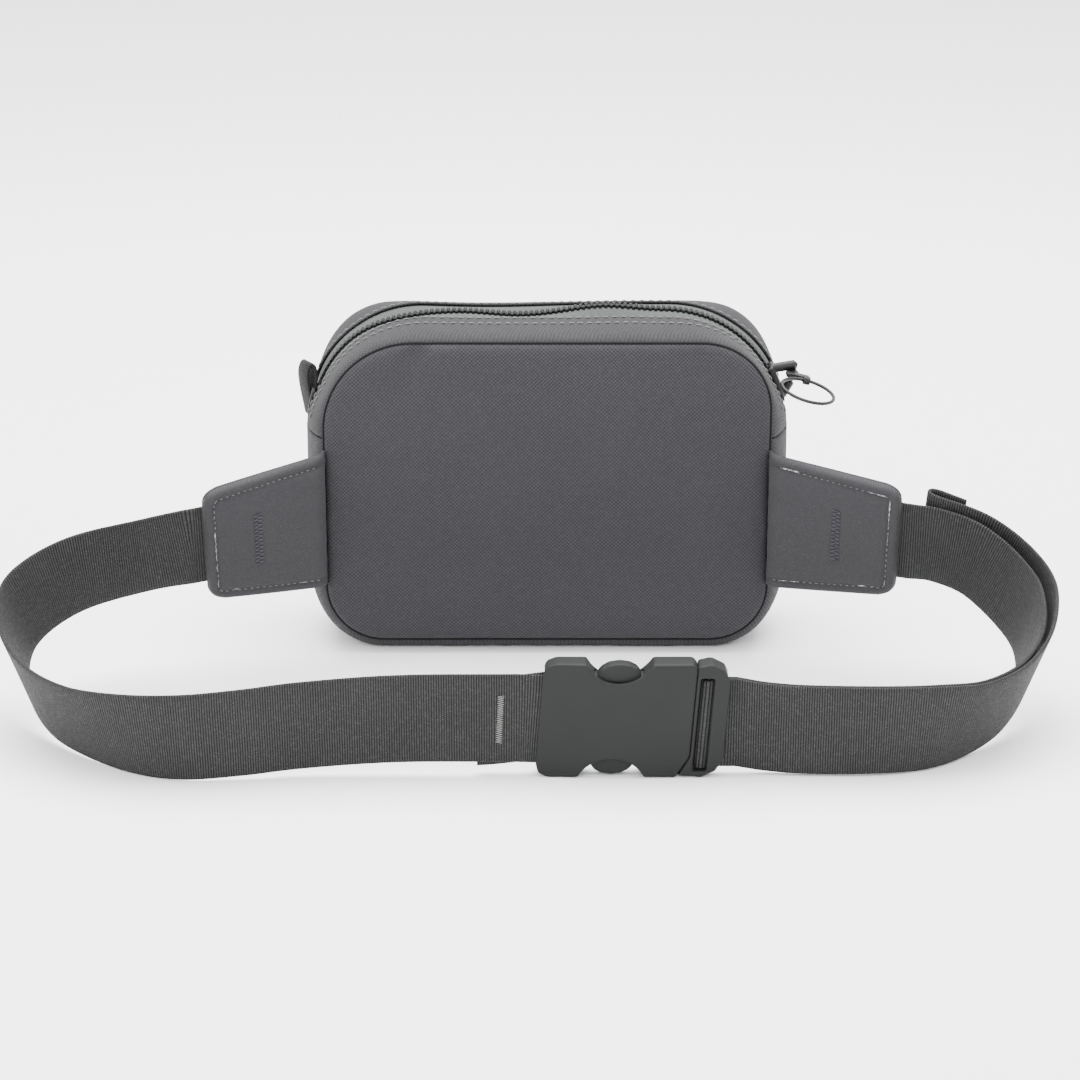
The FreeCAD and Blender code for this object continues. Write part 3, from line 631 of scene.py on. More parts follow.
def section(y, inset=0.0, count=260):
    """Closed outline of the pouch at depth y as x, z points, from the top centre to the right."""
    hw = HALF_W - dome(SIDE_SAG, y) - inset
    k = min(1.0, abs(y) / HALF_D)
    z0 = SEAM_LIFT * k ** 8 - BASE_CUT * (1 - k ** 8) + inset
    z1 = POUCH_H - dome(TOP_SAG, y) - inset
    tl, tr = (TOP_R - (TOP_R - r) * k * k - inset for r in (FRONT_TOP_R if y > 0 else SEAM_TOP_R))
    rb = LOW_R - (LOW_R - SEAM_LOW_R) * k * k - inset
    pts = [(0.0, z1)]
    corners = [(hw - tr, z1 - tr, tr, 90), (hw - rb, z0 + rb, rb, 0),
               (rb - hw, z0 + rb, rb, 270), (tl - hw, z1 - tl, tl, 180)]
    for cx, cz, r, start in corners:
        for q in range(25):
            a = radians(start - q * 3.75)
            pts.append((cx + r * cos(a), cz + r * sin(a)))
    pts.append((0.0, z1))
    return resample(pts, count)


WALL_COUNT = 170        # points along the upper and the lower wall


def arch(y):
    """Outline above the gusset seam, from the left seam over the top to the right one."""
    pts = section(y, 0.0, 1200)
    half = len(pts) // 2
    both = np.concatenate([pts[half:-1], pts[:half]])
    return resample(both[both[:, 1] >= ZIP_PANEL_Z + 0.2], WALL_COUNT)


def trough(y):
    """Outline below the gusset seam, from the right seam down and round to the left one."""
    pts = section(y, 0.0, 1200)[:-1]
    return resample(pts[pts[:, 1] <= ZIP_PANEL_Z - 0.1], WALL_COUNT)


def wall_grid(outline, ys, edge_roll, ripple=0.0, seed=1, dip=False):
    """Surface of a strip that runs round the pouch; its long edges roll in toward the seams."""
    rows, uv = [], []
    for y in ys:
        p = outline(y)
        t = tangents(p)
        normal = np.stack([-t[:, 1], t[:, 0]], axis=1)
        normal *= np.sign(np.sum(normal * (p - np.array([0.0, MID_Z])), axis=1))[:, None]
        s = along(p)
        near = HALF_D - abs(y)
        move = -edge_roll * math.exp(-near / 1.2)
        wave = ripple * math.exp(-near / 7.0) * smooth_noise(s, 0 * s + 3, seed, 13.0)
        wave += ripple * 0.9 * smooth_noise(s, 0 * s + y, seed + 7, 45.0) * (1 - math.exp(-near / 3.0))
        q = p + normal * (move + wave)[:, None]
        if dip:
            if y > 0:
                # the upper corners are fuller in front
                full = hill(np.abs(p[:, 0]), 84, 16) * np.clip((p[:, 1] - 100) / 18, 0, 1)
                swell = sin(pi * min(1.0, max(0.0, near / 17.0)) ** 0.8)
                q += normal * (1.9 * full * swell)[:, None]
            q -= dip_move(q, normal, y)
        rows.append(at_depth(q, y))
        uv.append(np.stack([s, np.full(len(s), y)], axis=1))
    return np.array(rows), np.array(uv)


def row_at(points, ys, y):
    """Line of a grid at depth y and the surface normals along it."""
    ys = np.asarray(ys)
    i = int(np.clip(np.searchsorted(ys, y) - 1, 0, len(ys) - 2))
    f = (y - ys[i]) / (ys[i + 1] - ys[i])
    line = points[i] * (1 - f) + points[i + 1] * f
    normal = unit(np.cross(np.gradient(line, axis=0), points[i + 1] - points[i]))
    out = line - np.array([0.0, 0.0, MID_Z])
    normal *= np.sign(np.sum(normal * out * [1, 0, 1], axis=1))[:, None]
    return line, normal


def edge_rows(start, stop, step=2.0):
    """Depths of grid rows, close together at the seam end."""
    sign = 1 if stop > start else -1
    offsets = [0.0, 0.35, 0.8, 1.5, 2.6] + list(np.arange(4.4, abs(stop - start), step))
    return np.array([start + sign * v for v in offsets] + [stop])


# ---------------------------------------------------------------- pouch pieces

PANEL_IN = 0.9          # panel edge inside the gusset's line: the seam lies in the groove


# folds of the back panel: x, z of the deep end, x, z of the shallow one, depth, width
CREASES = [(-55.0, 141.0, -62.0, 112.0, 2.8, 5.5), (-48.0, 139.0, -46.0, 124.0, -0.8, 6.0),
           (64.0, 136.0, 72.0, 112.0, 0.8, 7.0), (-92.0, 60.0, -66.0, 66.0, 0.7, 8.0),
           (92.0, 58.0, 62.0, 70.0, 0.9, 8.0), (-30.0, 8.0, -36.0, 30.0, 0.5, 9.0)]


def panel_outline(side, n, m):
    """The four boundary curves of a panel, meeting at the middles of its corners."""
    ring = section(side * HALF_D * 0.999, PANEL_IN, 1600)[:-1]
    lo, hi = ring.min(0), ring.max(0)
    marks = []
    for sx, sz in ((-1, -1), (1, -1), (1, 1), (-1, 1)):
        corner = np.array([hi[0] if sx > 0 else lo[0], hi[1] if sz > 0 else lo[1]])
        marks.append(int(np.argmin(np.linalg.norm(ring - corner, axis=1))))

    def between(a, b, count):
        i, j = marks[a], marks[b]
        k = (i - j) % len(ring)
        idx = (i - np.arange(k + 1)) % len(ring)
        return resample(ring[idx], count)

    return between(0, 1, m), between(1, 2, n), between(2, 3, m)[::-1], between(3, 0, n)[::-1]


def panel_surface(side, crown):
    """Crowned panel: steep at its seam, then rising softly, with slight unevenness."""
    edges = panel_outline(side, 96, 132)
    flat = coons(*edges)
    x, z = flat[..., 0], flat[..., 1]
    dist = rim_distance(x, z, np.concatenate(edges))
    rise = 0.62 * (1 - np.exp(-dist / 1.7)) + 0.38 * (1 - np.exp(-dist / 16.0))
    soft = 1 - np.exp(-dist / 6.0)
    y = crown * rise + 0.55 * soft * smooth_noise(x, z, 5 + side, 60.0)
    y += 0.22 * soft * smooth_noise(x, z, 15 + side, 22.0)
    y += 0.54 * np.exp(-dist / 5.0) * soft * smooth_noise(x, z, 21, 9.0)
    if side < 0:
        # a soft fold runs down from the kink of the top seam, and slack gathers beside the wings
        for x0, z0, x1, z1, depth, wide in CREASES:
            way = np.array([x1 - x0, z1 - z0])
            f = np.clip(((x - x0) * way[0] + (z - z0) * way[1]) / (way @ way), 0, 1)
            off = np.hypot(x - x0 - f * way[0], z - z0 - f * way[1])
            y -= depth * np.exp(-(off / wide) ** 2) * (1 - f) * np.clip(dist / 4.0, 0, 1)
    pos = np.stack([x, side * (HALF_D + y), z], axis=2)
    return pos, np.stack([x, z], axis=2)


def make_pouch(look):
    """Panels, gusset and zip strips; gives the strips' grids, which the stitching follows."""
    strips = {}
    for side, name, crown in ((-1, "back", BACK_CROWN), (1, "front", FRONT_CROWN)):
        pos, uv = panel_surface(side, crown)
        obj = grid(name + "_panel_cloth", pos, uv, look["canvas"], flip=side > 0, thick=WALL)
        place(obj, "pack", "canvas_" + name, name + "_panel")
    edge = HALF_D - 0.12
    ys = np.concatenate([edge_rows(-edge, 0.0), edge_rows(edge, 0.0)[::-1][1:]])
    pos, uv = wall_grid(trough, ys, 2.2, 0.35, 3)
    pos[:, :, 2] = np.maximum(pos[:, :, 2], 0.0)
    obj = grid("lower_gusset_cloth", pos, uv, look["gusset"], thick=WALL)
    place(obj, "pack", "canvas_gusset", "lower_gusset")
    for side, name in SIDES:
        ys = edge_rows(side * edge, side * FOLD_Y, 1.6)
        pos, uv = wall_grid(arch, ys, 2.2, 0.35, 11 + side, True)
        # the folded edge turns down over the zip tape
        hem = pos[-1].copy()
        hem[:, 1] += side * 0.25
        under = hem - row_at(pos[::-side], ys[::-side], ys[-2])[1] * 0.9
        pos = np.concatenate([pos, under[None]])
        uv = np.concatenate([uv, uv[-1:] + [0.0, 0.9]])
        obj = grid("zip_strip_" + name + "_cloth", pos, uv, look["strip"], flip=side > 0, thick=0.9)
        place(obj, "pack", "zip_strip", "zip_strip_" + name)
        strips[name] = (pos[:-1], ys)
    return strips


def make_topstitch(strips, look):
    for side, name, depths in ((-1, "rear", (10.1, 15.4)), (1, "front", (10.4,))):
        pos, ys = strips[name]
        order = np.argsort(ys)
        for k, d in enumerate(depths):
            line, normal = row_at(pos[order], ys[order], side * d)
            line, normal = line[3:-3], normal[3:-3]
            line[:, 1] += 0.12 * smooth_noise(line[:, 0], line[:, 2], 40 + k, 30.0)
            obj = stitches("topstitch_" + name + "_%d" % (k + 1), line, normal, look["thread"],
                           lift=0.2 if side < 0 else 0.02)
            place(obj, "pack", "zip_strip")


ACROSS = (0.0, 1.0, 0.0)


def make_seams(look):
    """Painted seam shadow: a dark cord along the sewn thread line in each groove stands in for the shade
    there.
    """
    for side, name in SIDES:
        ring = section(side * (HALF_D - 0.2), 1.05, 500)[:-1]
        path = at_depth(ring, side * (HALF_D + 0.1))
        obj = sweep(name + "_seam_shadow_cord", path, tube_profile(0.6, 8), look["seam"], ACROSS, close=True)
        place(obj, "pack", "binding_tape")


def make_lining(look):
    """Loose bag inside the pouch, open along the zip."""
    ys = np.linspace(-LINING_Y, LINING_Y, 13)
    wall = np.array([at_depth(section(y, LINING_IN, 241)[:-1], y) for y in ys])
    faces, rows, cols = grid_faces(len(ys), wall.shape[1], True)
    mid = wall.reshape(-1, 3)[faces].mean(1)
    keep = ~((np.abs(mid[:, 1]) < 8) & (mid[:, 2] > ZIP_PANEL_Z + 3))
    uv = np.stack(np.meshgrid(ys, np.arange(wall.shape[1] + 1) * 2.6, indexing="ij"), axis=2)
    tube = build("lining_cloth", wall.reshape(-1, 3), faces[keep].tolist(),
                 uv[rows, cols][keep].reshape(-1, 2), look["lining"])
    ends = []
    for side in (-1, 1):
        ring = section(side * LINING_Y, LINING_IN, 241)[:-1]
        centre = ring.mean(0)
        steps = np.linspace(1.0, 0.02, 16)[:, None, None]
        disc = centre + (ring[None] - centre) * steps
        bulge = 1.2 * smooth_noise(disc[..., 0], disc[..., 1], 60 + side, 50.0) * (1 - steps[..., 0])
        pos = np.stack([disc[..., 0], side * (LINING_Y - np.abs(bulge)), disc[..., 1]], axis=2)
        uv = np.concatenate([disc, disc[:, :1]], axis=1)
        ends.append(grid("lining_end", pos, uv, look["lining"], True))
    obj = join("lining_cloth", [tube] + ends)
    give_body(obj, 0.6)
    place(obj, "pack", "lining_cloth", "lining")


def make_inside(look):
    """Bound seam allowances and the foam behind the back panel."""
    for side, name in SIDES:
        path = at_depth(section(side * BINDING_Y, BINDING_IN, 400)[:-1], side * BINDING_Y)
        flat = [(-0.8, -1.2), (0.0, -1.5), (0.8, -1.2), (0.8, 1.2), (0.0, 1.5), (-0.8, 1.2)]
        obj = sweep(name + "_binding", path, flat, look["tape_dark"], ACROSS, close=True)
        place(obj, "pack", "binding_tape", name + "_seam_binding")
    pad = soft_pad("back_foam_core", section(-HALF_D * 0.999, 15.0, 241)[:-1], 4.0, 1.0,
                   lambda p, d: np.stack([p[:, 0], -29.2 + d, p[:, 1]], axis=1), look["foam"])
    place(pad, "pack", "foam", "back_foam_pad")


def soft_pad(name, ring, thick, round_r, lift, mat):
    """Closed pad: two faces that meet in a rounded edge; lift maps flat points and depth into space."""
    centre = ring.mean(0)
    inner = np.linspace(0.03, 1.0, 18)
    rows, depth = [], []
    inward = unit(centre - ring)
    for f in inner:
        rows.append(centre + (ring - centre) * f + inward * round_r * f)
        depth.append(0.0)
    for a in np.linspace(-80, 80, 7):
        q = radians(a)
        rows.append(ring + inward * round_r * (1 - cos(q)))
        depth.append(thick / 2 * (1 + sin(q)))
    for f in inner[::-1]:
        rows.append(centre + (ring - centre) * f + inward * round_r * f)
        depth.append(thick)
    rows = np.array(rows)
    n, m = rows.shape[:2]
    pts = np.array([lift(rows[i], depth[i] + 0.15 * smooth_noise(rows[i][:, 0], rows[i][:, 1], 77, 25.0))
                    for i in range(n)])
    faces = grid_faces(n, m, True)[0].tolist() + [list(range(m)), [(n - 1) * m + j for j in range(m)][::-1]]
    return build(name, pts.reshape(-1, 3), faces, None, mat)


# ---------------------------------------------------------------- zipper

def chain_base():
    """Middle line of the chain over the arch, as true arcs."""
    def corner(side, start, stop, step):
        a = np.radians(np.arange(start, stop, step))
        return np.stack([side * (ARC_X + CHAIN_R * np.cos(a)), ARC_Z + CHAIN_R * np.sin(a)], axis=1)

    x = np.arange(ARC_X, -ARC_X, -3.0)
    top = np.stack([x, np.full(len(x), ARC_Z + CHAIN_R)], axis=1)
    return resample(np.concatenate([corner(1, 6.0, 90.0, 1.5), top, corner(-1, 90.0, 13.0, -1.5)]), 400)


def chain_sag(x):
    """The soft top lets the chain sink and rise."""
    return (-2.3 * hill(x, -12, 20) + 1.8 * hill(x, 25, 16)
            - 2.2 * hill(x, -62, 18))


def strip_height(base, normal, d):
    """How far out the pouch's surface at depth d lies from each point of a line."""
    ring = section(d, 0.0, 1600)
    out = []
    for p, n in zip(base, normal):
        off = ring - p
        away = np.abs(off[:, 0] * n[1] - off[:, 1] * n[0])
        away[off @ n < -8.0] = 99.0
        out.append(float(off[np.argmin(away)] @ n))
    return np.array(out)


def frame_of(line):
    """Tangents and outward normals of a line in x and z."""
    t = tangents(line)
    return t, np.stack([t[:, 1], -t[:, 0]], axis=1)


TAPE_UNDER = 1.4        # top face of the tape below the strip's outer face


def make_zipper(look):
    base = chain_base()
    x = base[:, 0]
    line = base + np.stack([0 * x, chain_sag(x)], axis=1)
    flat_normal = frame_of(base)[1]
    t, normal = frame_of(line)
    run = along(line)
    for side, name in SIDES:
        rows, uv = [], []
        # from the teeth outward, the tape rises from the chain to just under the strip
        for d in (2.0, 2.8, 3.6, 4.6, 5.8, 7.0, 8.2, 10.0, 12.2):
            f = min(1.0, (d - 2.0) / 6.2)
            f = f * f * (3 - 2 * f)
            out = strip_height(base, flat_normal, side * d) - TAPE_UNDER
            q = base + flat_normal * out[:, None]
            q -= dip_move(q, flat_normal, side * d)
            q = line * (1 - f) + q * f
            rows.append(at_depth(q, side * d))
            uv.append(np.stack([run, np.full(len(run), side * d)], axis=1))
        obj = grid("zipper_tape_" + name + "_cloth", np.array(rows), np.array(uv), look["tape"],
                   flip=side > 0, thick=0.5)
        place(obj, "pack", "zip_tape", "zipper_tape_" + name)
        make_teeth(name, side, line, t, normal, run, look)


def make_teeth(name, side, line, t, normal, run, look):
    """Moulded teeth: a chamfered body over the tape's cord and a narrower head."""
    verts, faces = [], []
    s = 9.5 + PITCH * (0.25 if side > 0 else 0.75)
    # how far from the middle, half width and half height
    shape = [(-3.0, 0.50, 0.95), (-2.7, 0.68, 1.25), (-1.1, 0.72, 1.3), (-0.5, 0.42, 1.15),
             (0.1, 0.62, 1.1), (0.7, 0.60, 1.0), (0.95, 0.40, 0.75)]
    c = 0.28
    while s < run[-1] - 9.0:
        i = np.searchsorted(run, s)
        p = np.array([np.interp(s, run, line[:, 0]), 0.0, np.interp(s, run, line[:, 1])])
        ahead = np.array([t[i, 0], 0.0, t[i, 1]])
        up = np.array([normal[i, 0], 0.0, normal[i, 1]])
        faces += stack_faces(len(verts), len(shape), 8)
        for y, half, tall in shape:
            for a, b in ((-half, -tall + c), (-half, tall - c), (-half + c, tall), (half - c, tall),
                         (half, tall - c), (half, -tall + c), (half - c, -tall), (-half + c, -tall)):
                verts.append(p + np.array([0, -side * y, 0]) + ahead * a + up * b)
        s += PITCH
    obj = build("zipper_teeth_" + name + "_moulded", verts, faces, None, look["teeth"], smooth=False)
    place(obj, "pack", "zip_teeth", "zipper_teeth_" + name)


def make_slider(look):
    # the crown's two feet are thick cast lobes, the bar between them stays slim
    feet = []
    for angle, up in ((13.6, -4.2), (27.4, 3.6)):
        a = radians(angle)
        foot = np.array([ARC_X + FOOT_R * cos(a), 0.0, ARC_Z + FOOT_R * sin(a)])
        top = PIVOT + BAR * up
        line = [foot, foot * 0.6 + top * 0.4, top]
        feet.append(sweep("crown_foot", line, tube_profile(1.9, 14), look["metal"], ACROSS))
    obj = moulded("slider_cast", "slider_body", 0.26, 3, look["metal"], swell=0.25, extra=feet)
    place(obj, "slider", "slider_metal", "slider_body")
    obj = moulded("puller_cast", "puller_tab", 0.2, 2, look["metal"], swell=0.1)
    place(obj, "puller", "slider_metal", "puller_tab")
    a = np.linspace(0, 2 * pi, 97)[:-1]
    near = np.array([0.0, -cos(RING_TILT), 0.0]) - BAR * sin(RING_TILT)
    centre = PIVOT + PULL * RING_OFF + np.array([0.0, RING_Y, 0.0]) + near * RING_R
    path = centre + np.outer(np.cos(a), PULL) * RING_R + np.outer(np.sin(a), near) * RING_R
    flat = unit(np.cross(PULL, near))
    ring = sweep("pull_ring_wire", path, tube_profile(WIRE_R, 14), look["ring"], flat, close=True)
    place(ring, "ring", "ring_metal", "pull_ring")


def make_grab_loop(look):
    """Folded tape, its face turned a little toward the wearer."""
    pts = [(-105.0, 100.5), (-106.2, 107.0), (-107.2, 113.0), (-107.7, 118.5), (-107.1, 122.2),
           (-105.7, 124.0), (-104.3, 122.6), (-103.8, 118.5),
           (-104.3, 112.0), (-104.7, 106.0), (-104.5, 100.0)]
    path = catmull([(x + 1.6, 0.0, z) for x, z in pts], 6)
    turn = radians(32.0)
    across = np.array([sin(turn), -cos(turn), 0.0])
    flat = [(-4.4, 0.3), (-4.4, -0.3), (-3.9, -0.6), (3.9, -0.6),
            (4.4, -0.3), (4.4, 0.3), (3.9, 0.6), (-3.9, 0.6)]
    obj = sweep("grab_loop_tape", path, flat, look["tape_dark"], across)
    place(obj, "pack", "loop_tape", "grab_loop")


ZIP_END_TUCK = 6.0      # how far the zip's cross pieces run in behind the gusset


def make_zip_ends(look):
    for side, name, z1 in ((-1, "left", 114.0), (1, "right", 104.0)):
        rows, uv = [], []
        for y in np.linspace(-8.2, 8.2, 9):
            p = section(y, 0.15, 900)
            p = p[(p[:, 0] * side > 60) & (p[:, 1] > ZIP_PANEL_Z - ZIP_END_TUCK) & (p[:, 1] < z1)]
            p = resample(p[np.argsort(p[:, 1])], 18)
            # the lower end is sewn in behind the gusset
            p[:, 0] -= side * 1.9 * np.clip((ZIP_PANEL_Z + 0.8 - p[:, 1]) / 1.6, 0, 1)
            rows.append(at_depth(p, y))
            uv.append(np.stack([p[:, 1], np.full(18, y)], axis=1))
        obj = grid("zip_end_" + name + "_cloth", np.array(rows), np.array(uv), look["strip"],
                   flip=side > 0, thick=1.0)
        place(obj, "pack", "zip_strip", "zip_end_" + name)


# ---------------------------------------------------------------- wings

def wing_axes(side, s):
    lean = np.radians(WING_LEAN * np.clip(s / WING_LEN[side], 0.0, 1.0))
    u = unit(np.array(WING_RUN[side]))
    w = np.stack([0 * lean, -np.sin(lean), np.cos(lean)], axis=-1)
    n = unit(np.cross(u, w) if side > 0 else np.cross(w, u))
    return u, w, n


def wing_point(side, s, h, d):
    u, w, n = wing_axes(side, np.asarray(s, float))
    root = np.array([side * WING_X, WING_Y, WING_Z])
    s, h, d = (np.asarray(v)[..., None] for v in (s, h, d))
    return root + u * s + w * h + n * d


def wing_ring(side, inset=0.0, n=56, m=60, s0=-WING_TUCK):
    """Boundary of a wing in its own plane: root, lower edge, belt end, upper edge."""
    r = max(6.5 - inset, 1.0)
    full = WING_LEN[side]
    s1 = full - inset

    def half(s):
        return WING_ROOT + (WING_END - WING_ROOT) * s / full - inset

    low = [(s0, -half(s0)), (s1 - r, -half(s1 - r))]
    arc_low = [(s1 - r + r * sin(a), -half(s1) + r - r * cos(a))
               for a in np.linspace(0, pi / 2, 9)]
    arc_high = [(s, -h) for s, h in arc_low[::-1]]
    bottom = resample(low + arc_low[1:5], m)
    right = resample(arc_low[4:] + arc_high[:5], n)
    top = resample([(s, -h) for s, h in low + arc_low[1:5]], m)
    left = resample([(s0, -half(s0)), (s0, half(s0))], n)
    return bottom, right, top, left


def root_pinch(s):
    """0 where both covers are caught in the pouch's seam, 1 where the wing has its full thickness."""
    t = np.clip((np.asarray(s, float) + WING_TUCK) / 7.6, 0.0, 1.0)
    return np.sqrt(1 - (1 - t) ** 2)


def wing_mid(s):
    """Depth of the seam between the wing's covers."""
    return 0.4 + (WING_SEAM_D - 0.4) * root_pinch(s)


def puff(side, s, h, seed):
    """Height of the padded face over the wing's mid seam."""
    ring = wing_ring(side)
    dist = rim_distance(s, h, np.concatenate(ring[:3]))
    edge = np.sqrt(np.clip(1 - (1 - np.clip(dist / 2.6, 0, 1)) ** 2, 0, 1))
    high = 3.3 * edge
    high -= 1.15 * hill(dist, SEAM_IN, 0.75)
    high += 0.75 * (1 - np.exp(-np.maximum(dist - SEAM_IN, 0) / 6.0))
    pucker = hill(dist, SEAM_IN, 2.4)
    high += 0.32 * pucker * smooth_noise(s, h, seed, 4.5)
    high += 0.3 * smooth_noise(s, h, seed + 1, 26.0) * np.clip(dist / 5, 0, 1)
    # soft folds fan out from the root, where the wing is caught in the pouch's seam
    fold = np.exp(-np.maximum(s, 0) / 9.0) * np.clip(dist / 5, 0, 1)
    high += 0.55 * fold * np.sin(h * 0.42 + 0.04 * s * side + seed)
    tack = hill(s, WING_TACK, 1.8) * (np.abs(h) < 12.5)
    return (high - 0.7 * tack) * root_pinch(s)


def make_wings(look):
    for side, name in ((-1, "left"), (1, "right")):
        flat = coons(*wing_ring(side))
        s, h = flat[..., 0], flat[..., 1]
        front = wing_point(side, s, h, wing_mid(s) + 0.2 + puff(side, s, h, 31 + side))
        inner = grid(name + "_wing_face", front, flat, look["wing"], flip=side < 0, thick=1.0)
        place(inner, "pack", "wing_cloth", name + "_wing_inner_cover")
        rear = wing_point(side, s, h, wing_mid(s) - 0.2 - 0.9 * puff(side, s, h, 51 + side))
        outer = grid(name + "_wing_back", rear, flat, look["wing"], flip=side > 0, thick=1.0)
        place(outer, "pack", "wing_cloth", name + "_wing_outer_cover")
        curves = wing_ring(side, 2.4, 30, 30, 5.0)
        ring = np.concatenate([c[:-1] if k < 2 else c[::-1][:-1] for k, c in enumerate(curves)])
        foam = soft_pad(name + "_wing_core", ring, 2.2, 0.8, lambda p, d, side=side: wing_point(
            side, p[:, 0], p[:, 1], WING_SEAM_D + 0.2 + d), look["foam"])
        place(foam, "pack", "foam", name + "_wing_foam")
        make_wing_thread(side, name, look)


def make_wing_thread(side, name, look):
    bottom, right, top = wing_ring(side, SEAM_IN, 40, 60)[:3]
    rim = np.concatenate([bottom, right[1:], top[::-1][1:]])
    rim = rim[rim[:, 0] > 1.0]
    path = resample(rim, 400)
    s, h = path[:, 0], path[:, 1]
    d = wing_mid(s) + 0.2 + puff(side, s, h, 31 + side)
    line = wing_point(side, s, h, d)
    normal = wing_axes(side, s)[2]
    obj = stitches(name + "_wing_stitching", line, normal, look["thread"], 2.7, 0.56, 0.24, 0.15)
    place(obj, "pack", "wing_cloth")
    # bar tack that holds the webbing inside the wing
    count = 28
    z = np.linspace(-12.0, 12.0, count)
    zig = np.stack([WING_TACK + 1.8 * (-1.0) ** np.arange(count), z], axis=1)
    zig = resample(zig, count * 8)
    d = WING_SEAM_D + 0.5 + puff(side, zig[:, 0], zig[:, 1], 31 + side)
    line = wing_point(side, zig[:, 0], zig[:, 1], d)
    obj = thread(name + "_wing_bartack", line, wing_axes(side, zig[:, 0])[2], 0.26, look["thread_dark"])
    place(obj, "pack", "wing_cloth")


# ---------------------------------------------------------------- belt

def belt_frames(side, rows, last):
    """Middle points and width directions from inside the wing to the buckle."""
    pts, ups = [], []
    for s in np.linspace(26.0, WING_LEN[side] + 4.0, 10):
        pts.append(wing_point(side, s, 0.0, 2.5))
        ups.append(wing_axes(side, s)[1])
    lean = math.degrees(math.asin(-ups[-1][1]))
    start = list(pts[-1]) + [lean, ups[-1][0] / ups[-1][2]]
    path = catmull([start] + [list(r) for r in rows] + [list(last)], 8)
    for i, r in enumerate(path[1:], 1):
        a, b = path[i - 1][:3], path[min(i + 1, len(path) - 1)][:3]
        t = unit(b - a)
        w = np.array([r[4], -sin(radians(r[3])), cos(radians(r[3]))])
        w -= t * (w @ t) * min(1.0, max(0.0, (r[3] - 1.0) / 6.0))
        pts.append(r[:3])
        ups.append(unit(w))
    return np.array(pts), np.array(ups)


def web_profile():
    """Flat band with rounded edges."""
    half = [(v, WEB_T / 2) for v in np.linspace(-18.5, 18.5, 13)]
    half += [(18.9, 0.45), (WEB_HALF, 0.0), (18.9, -0.45)]
    return half + [(-v, -o) for v, o in half]


def arc_points(centre, a0, a1, z):
    """The webbing's way round a bar."""
    return [(centre[0] + HOOK_R * cos(a), centre[1] + HOOK_R * sin(a), z)
            for a in np.radians(np.linspace(a0, a1, 14))]


def make_left_strap(look):
    pts, ups = belt_frames(-1, LEFT_PATH, (-12.0, BK_Y - 1.2, BK_Z, 0, 0))
    by = LEFT_BAR[1]
    tail = [(-4.0, by - HOOK_R + 0.3, BK_Z)] + arc_points(LEFT_BAR, -90, 90, BK_Z)
    tail += [(-5.0, by + 1.2, BK_Z - 0.4), (-14.0, by + 0.2, BK_Z - 1.2), (-20.0, by + 0.2, BK_Z - 1.9),
             (-27.0, by + 0.2, BK_Z - 2.4)]
    extra = resample(catmull(tail, 4), 70)
    pts = np.concatenate([pts, extra])
    ups = np.concatenate([ups, np.broadcast_to([BK_SKEW, 0.0, 1.0], extra.shape)])
    obj = sweep("left_strap_webbing", pts, web_profile(), look["web"], unit(ups))
    place(obj, "pack", "webbing", "left_strap")
    # pale bar tack across both layers
    count = 45
    z = np.linspace(-10.2, 10.2, count)
    zig = np.stack([-19.0 + 1.3 * (-1.0) ** np.arange(count) + z * 0.05, z], axis=1)
    zig = resample(zig, count * 7)
    front = np.interp(zig[:, 0], [-60.0, -12.0], [-160.0, BK_Y - 1.2])
    path = np.stack([zig[:, 0], front - WEB_T / 2 - 0.15, BK_Z - 0.2 + zig[:, 1]], axis=1)
    facing = np.broadcast_to([0.0, -1.0, 0.0], path.shape)
    obj = thread("left_strap_bartack", path, facing, 0.15, look["thread_pale"])
    place(obj, "pack", "webbing")


def make_right_strap(look):
    y1, z1 = BK_Y + 1.3, BK_Z - 2.2
    pts, ups = belt_frames(1, RIGHT_PATH, (PLUG_END, y1, z1, 0, 0))
    layer = WEB_T + 0.2
    bx, by = PLUG_BAR
    hook = [(PLUG_PAST, y1, z1)] + arc_points(PLUG_BAR, 90, 270, z1)
    hook += [(bx + 1.2, by - HOOK_R + 0.35, z1), (PLUG_PAST, y1 - layer, z1)]
    hook = resample(catmull(hook, 4), 60)
    out = unit(np.cross(ups, tangents(pts)))
    begin = 17              # the returned layer ends at this point of the belt, in a folded tail
    k = np.arange(len(pts) - begin) / (len(pts) - begin - 1.0)
    off = layer + 5.4 * hill(k, 0.2, 0.15)
    off[-1] = layer
    rise = 3.6 * np.exp(-k / 0.22)
    outer = pts[begin:] + out[begin:] * off[:, None] + ups[begin:] * rise[:, None]
    back = unit(outer[0] - outer[1])
    turn = [(2.5, 0.2), (5.0, 0.5), (7.2, 1.4), (8.0, 3.0), (7.0, 4.4), (4.0, 4.9), (-2.0, 4.4), (-8.0, 3.8)]
    loop = catmull([outer[0] + back * s + out[begin] * o for s, o in turn], 5)
    path = np.concatenate([pts, hook, outer[::-1][:-1], loop])
    up = np.concatenate([ups, np.broadcast_to([BK_SKEW, 0.0, 1.0], hook.shape), ups[begin:][::-1][:-1],
                         np.broadcast_to(ups[begin], loop.shape)])
    obj = sweep("right_strap_webbing", path, web_profile(), look["web"], unit(up))
    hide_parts("right_strap")
    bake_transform(obj)


# ---------------------------------------------------------------- buckle

def make_buckle(look):
    for name, node, body, voxel, rounds in (
            ("buckle_socket", "buckle_female", "pack", 0.55, 7),
            ("buckle_plug", "buckle_male", "plug", 0.5, 6),
            ("latch_upper_arm", "latch_upper", "latch_up", 0.4, 5),
            ("latch_lower_arm", "latch_lower", "latch_low", 0.4, 5)):
        obj = moulded(name, node, voxel, rounds, look["plastic"], BK_SKEW, 0.3 if body != "pack" else 0.0)
        place(obj, body, "buckle_plastic", node)


# ---------------------------------------------------------------- the scene

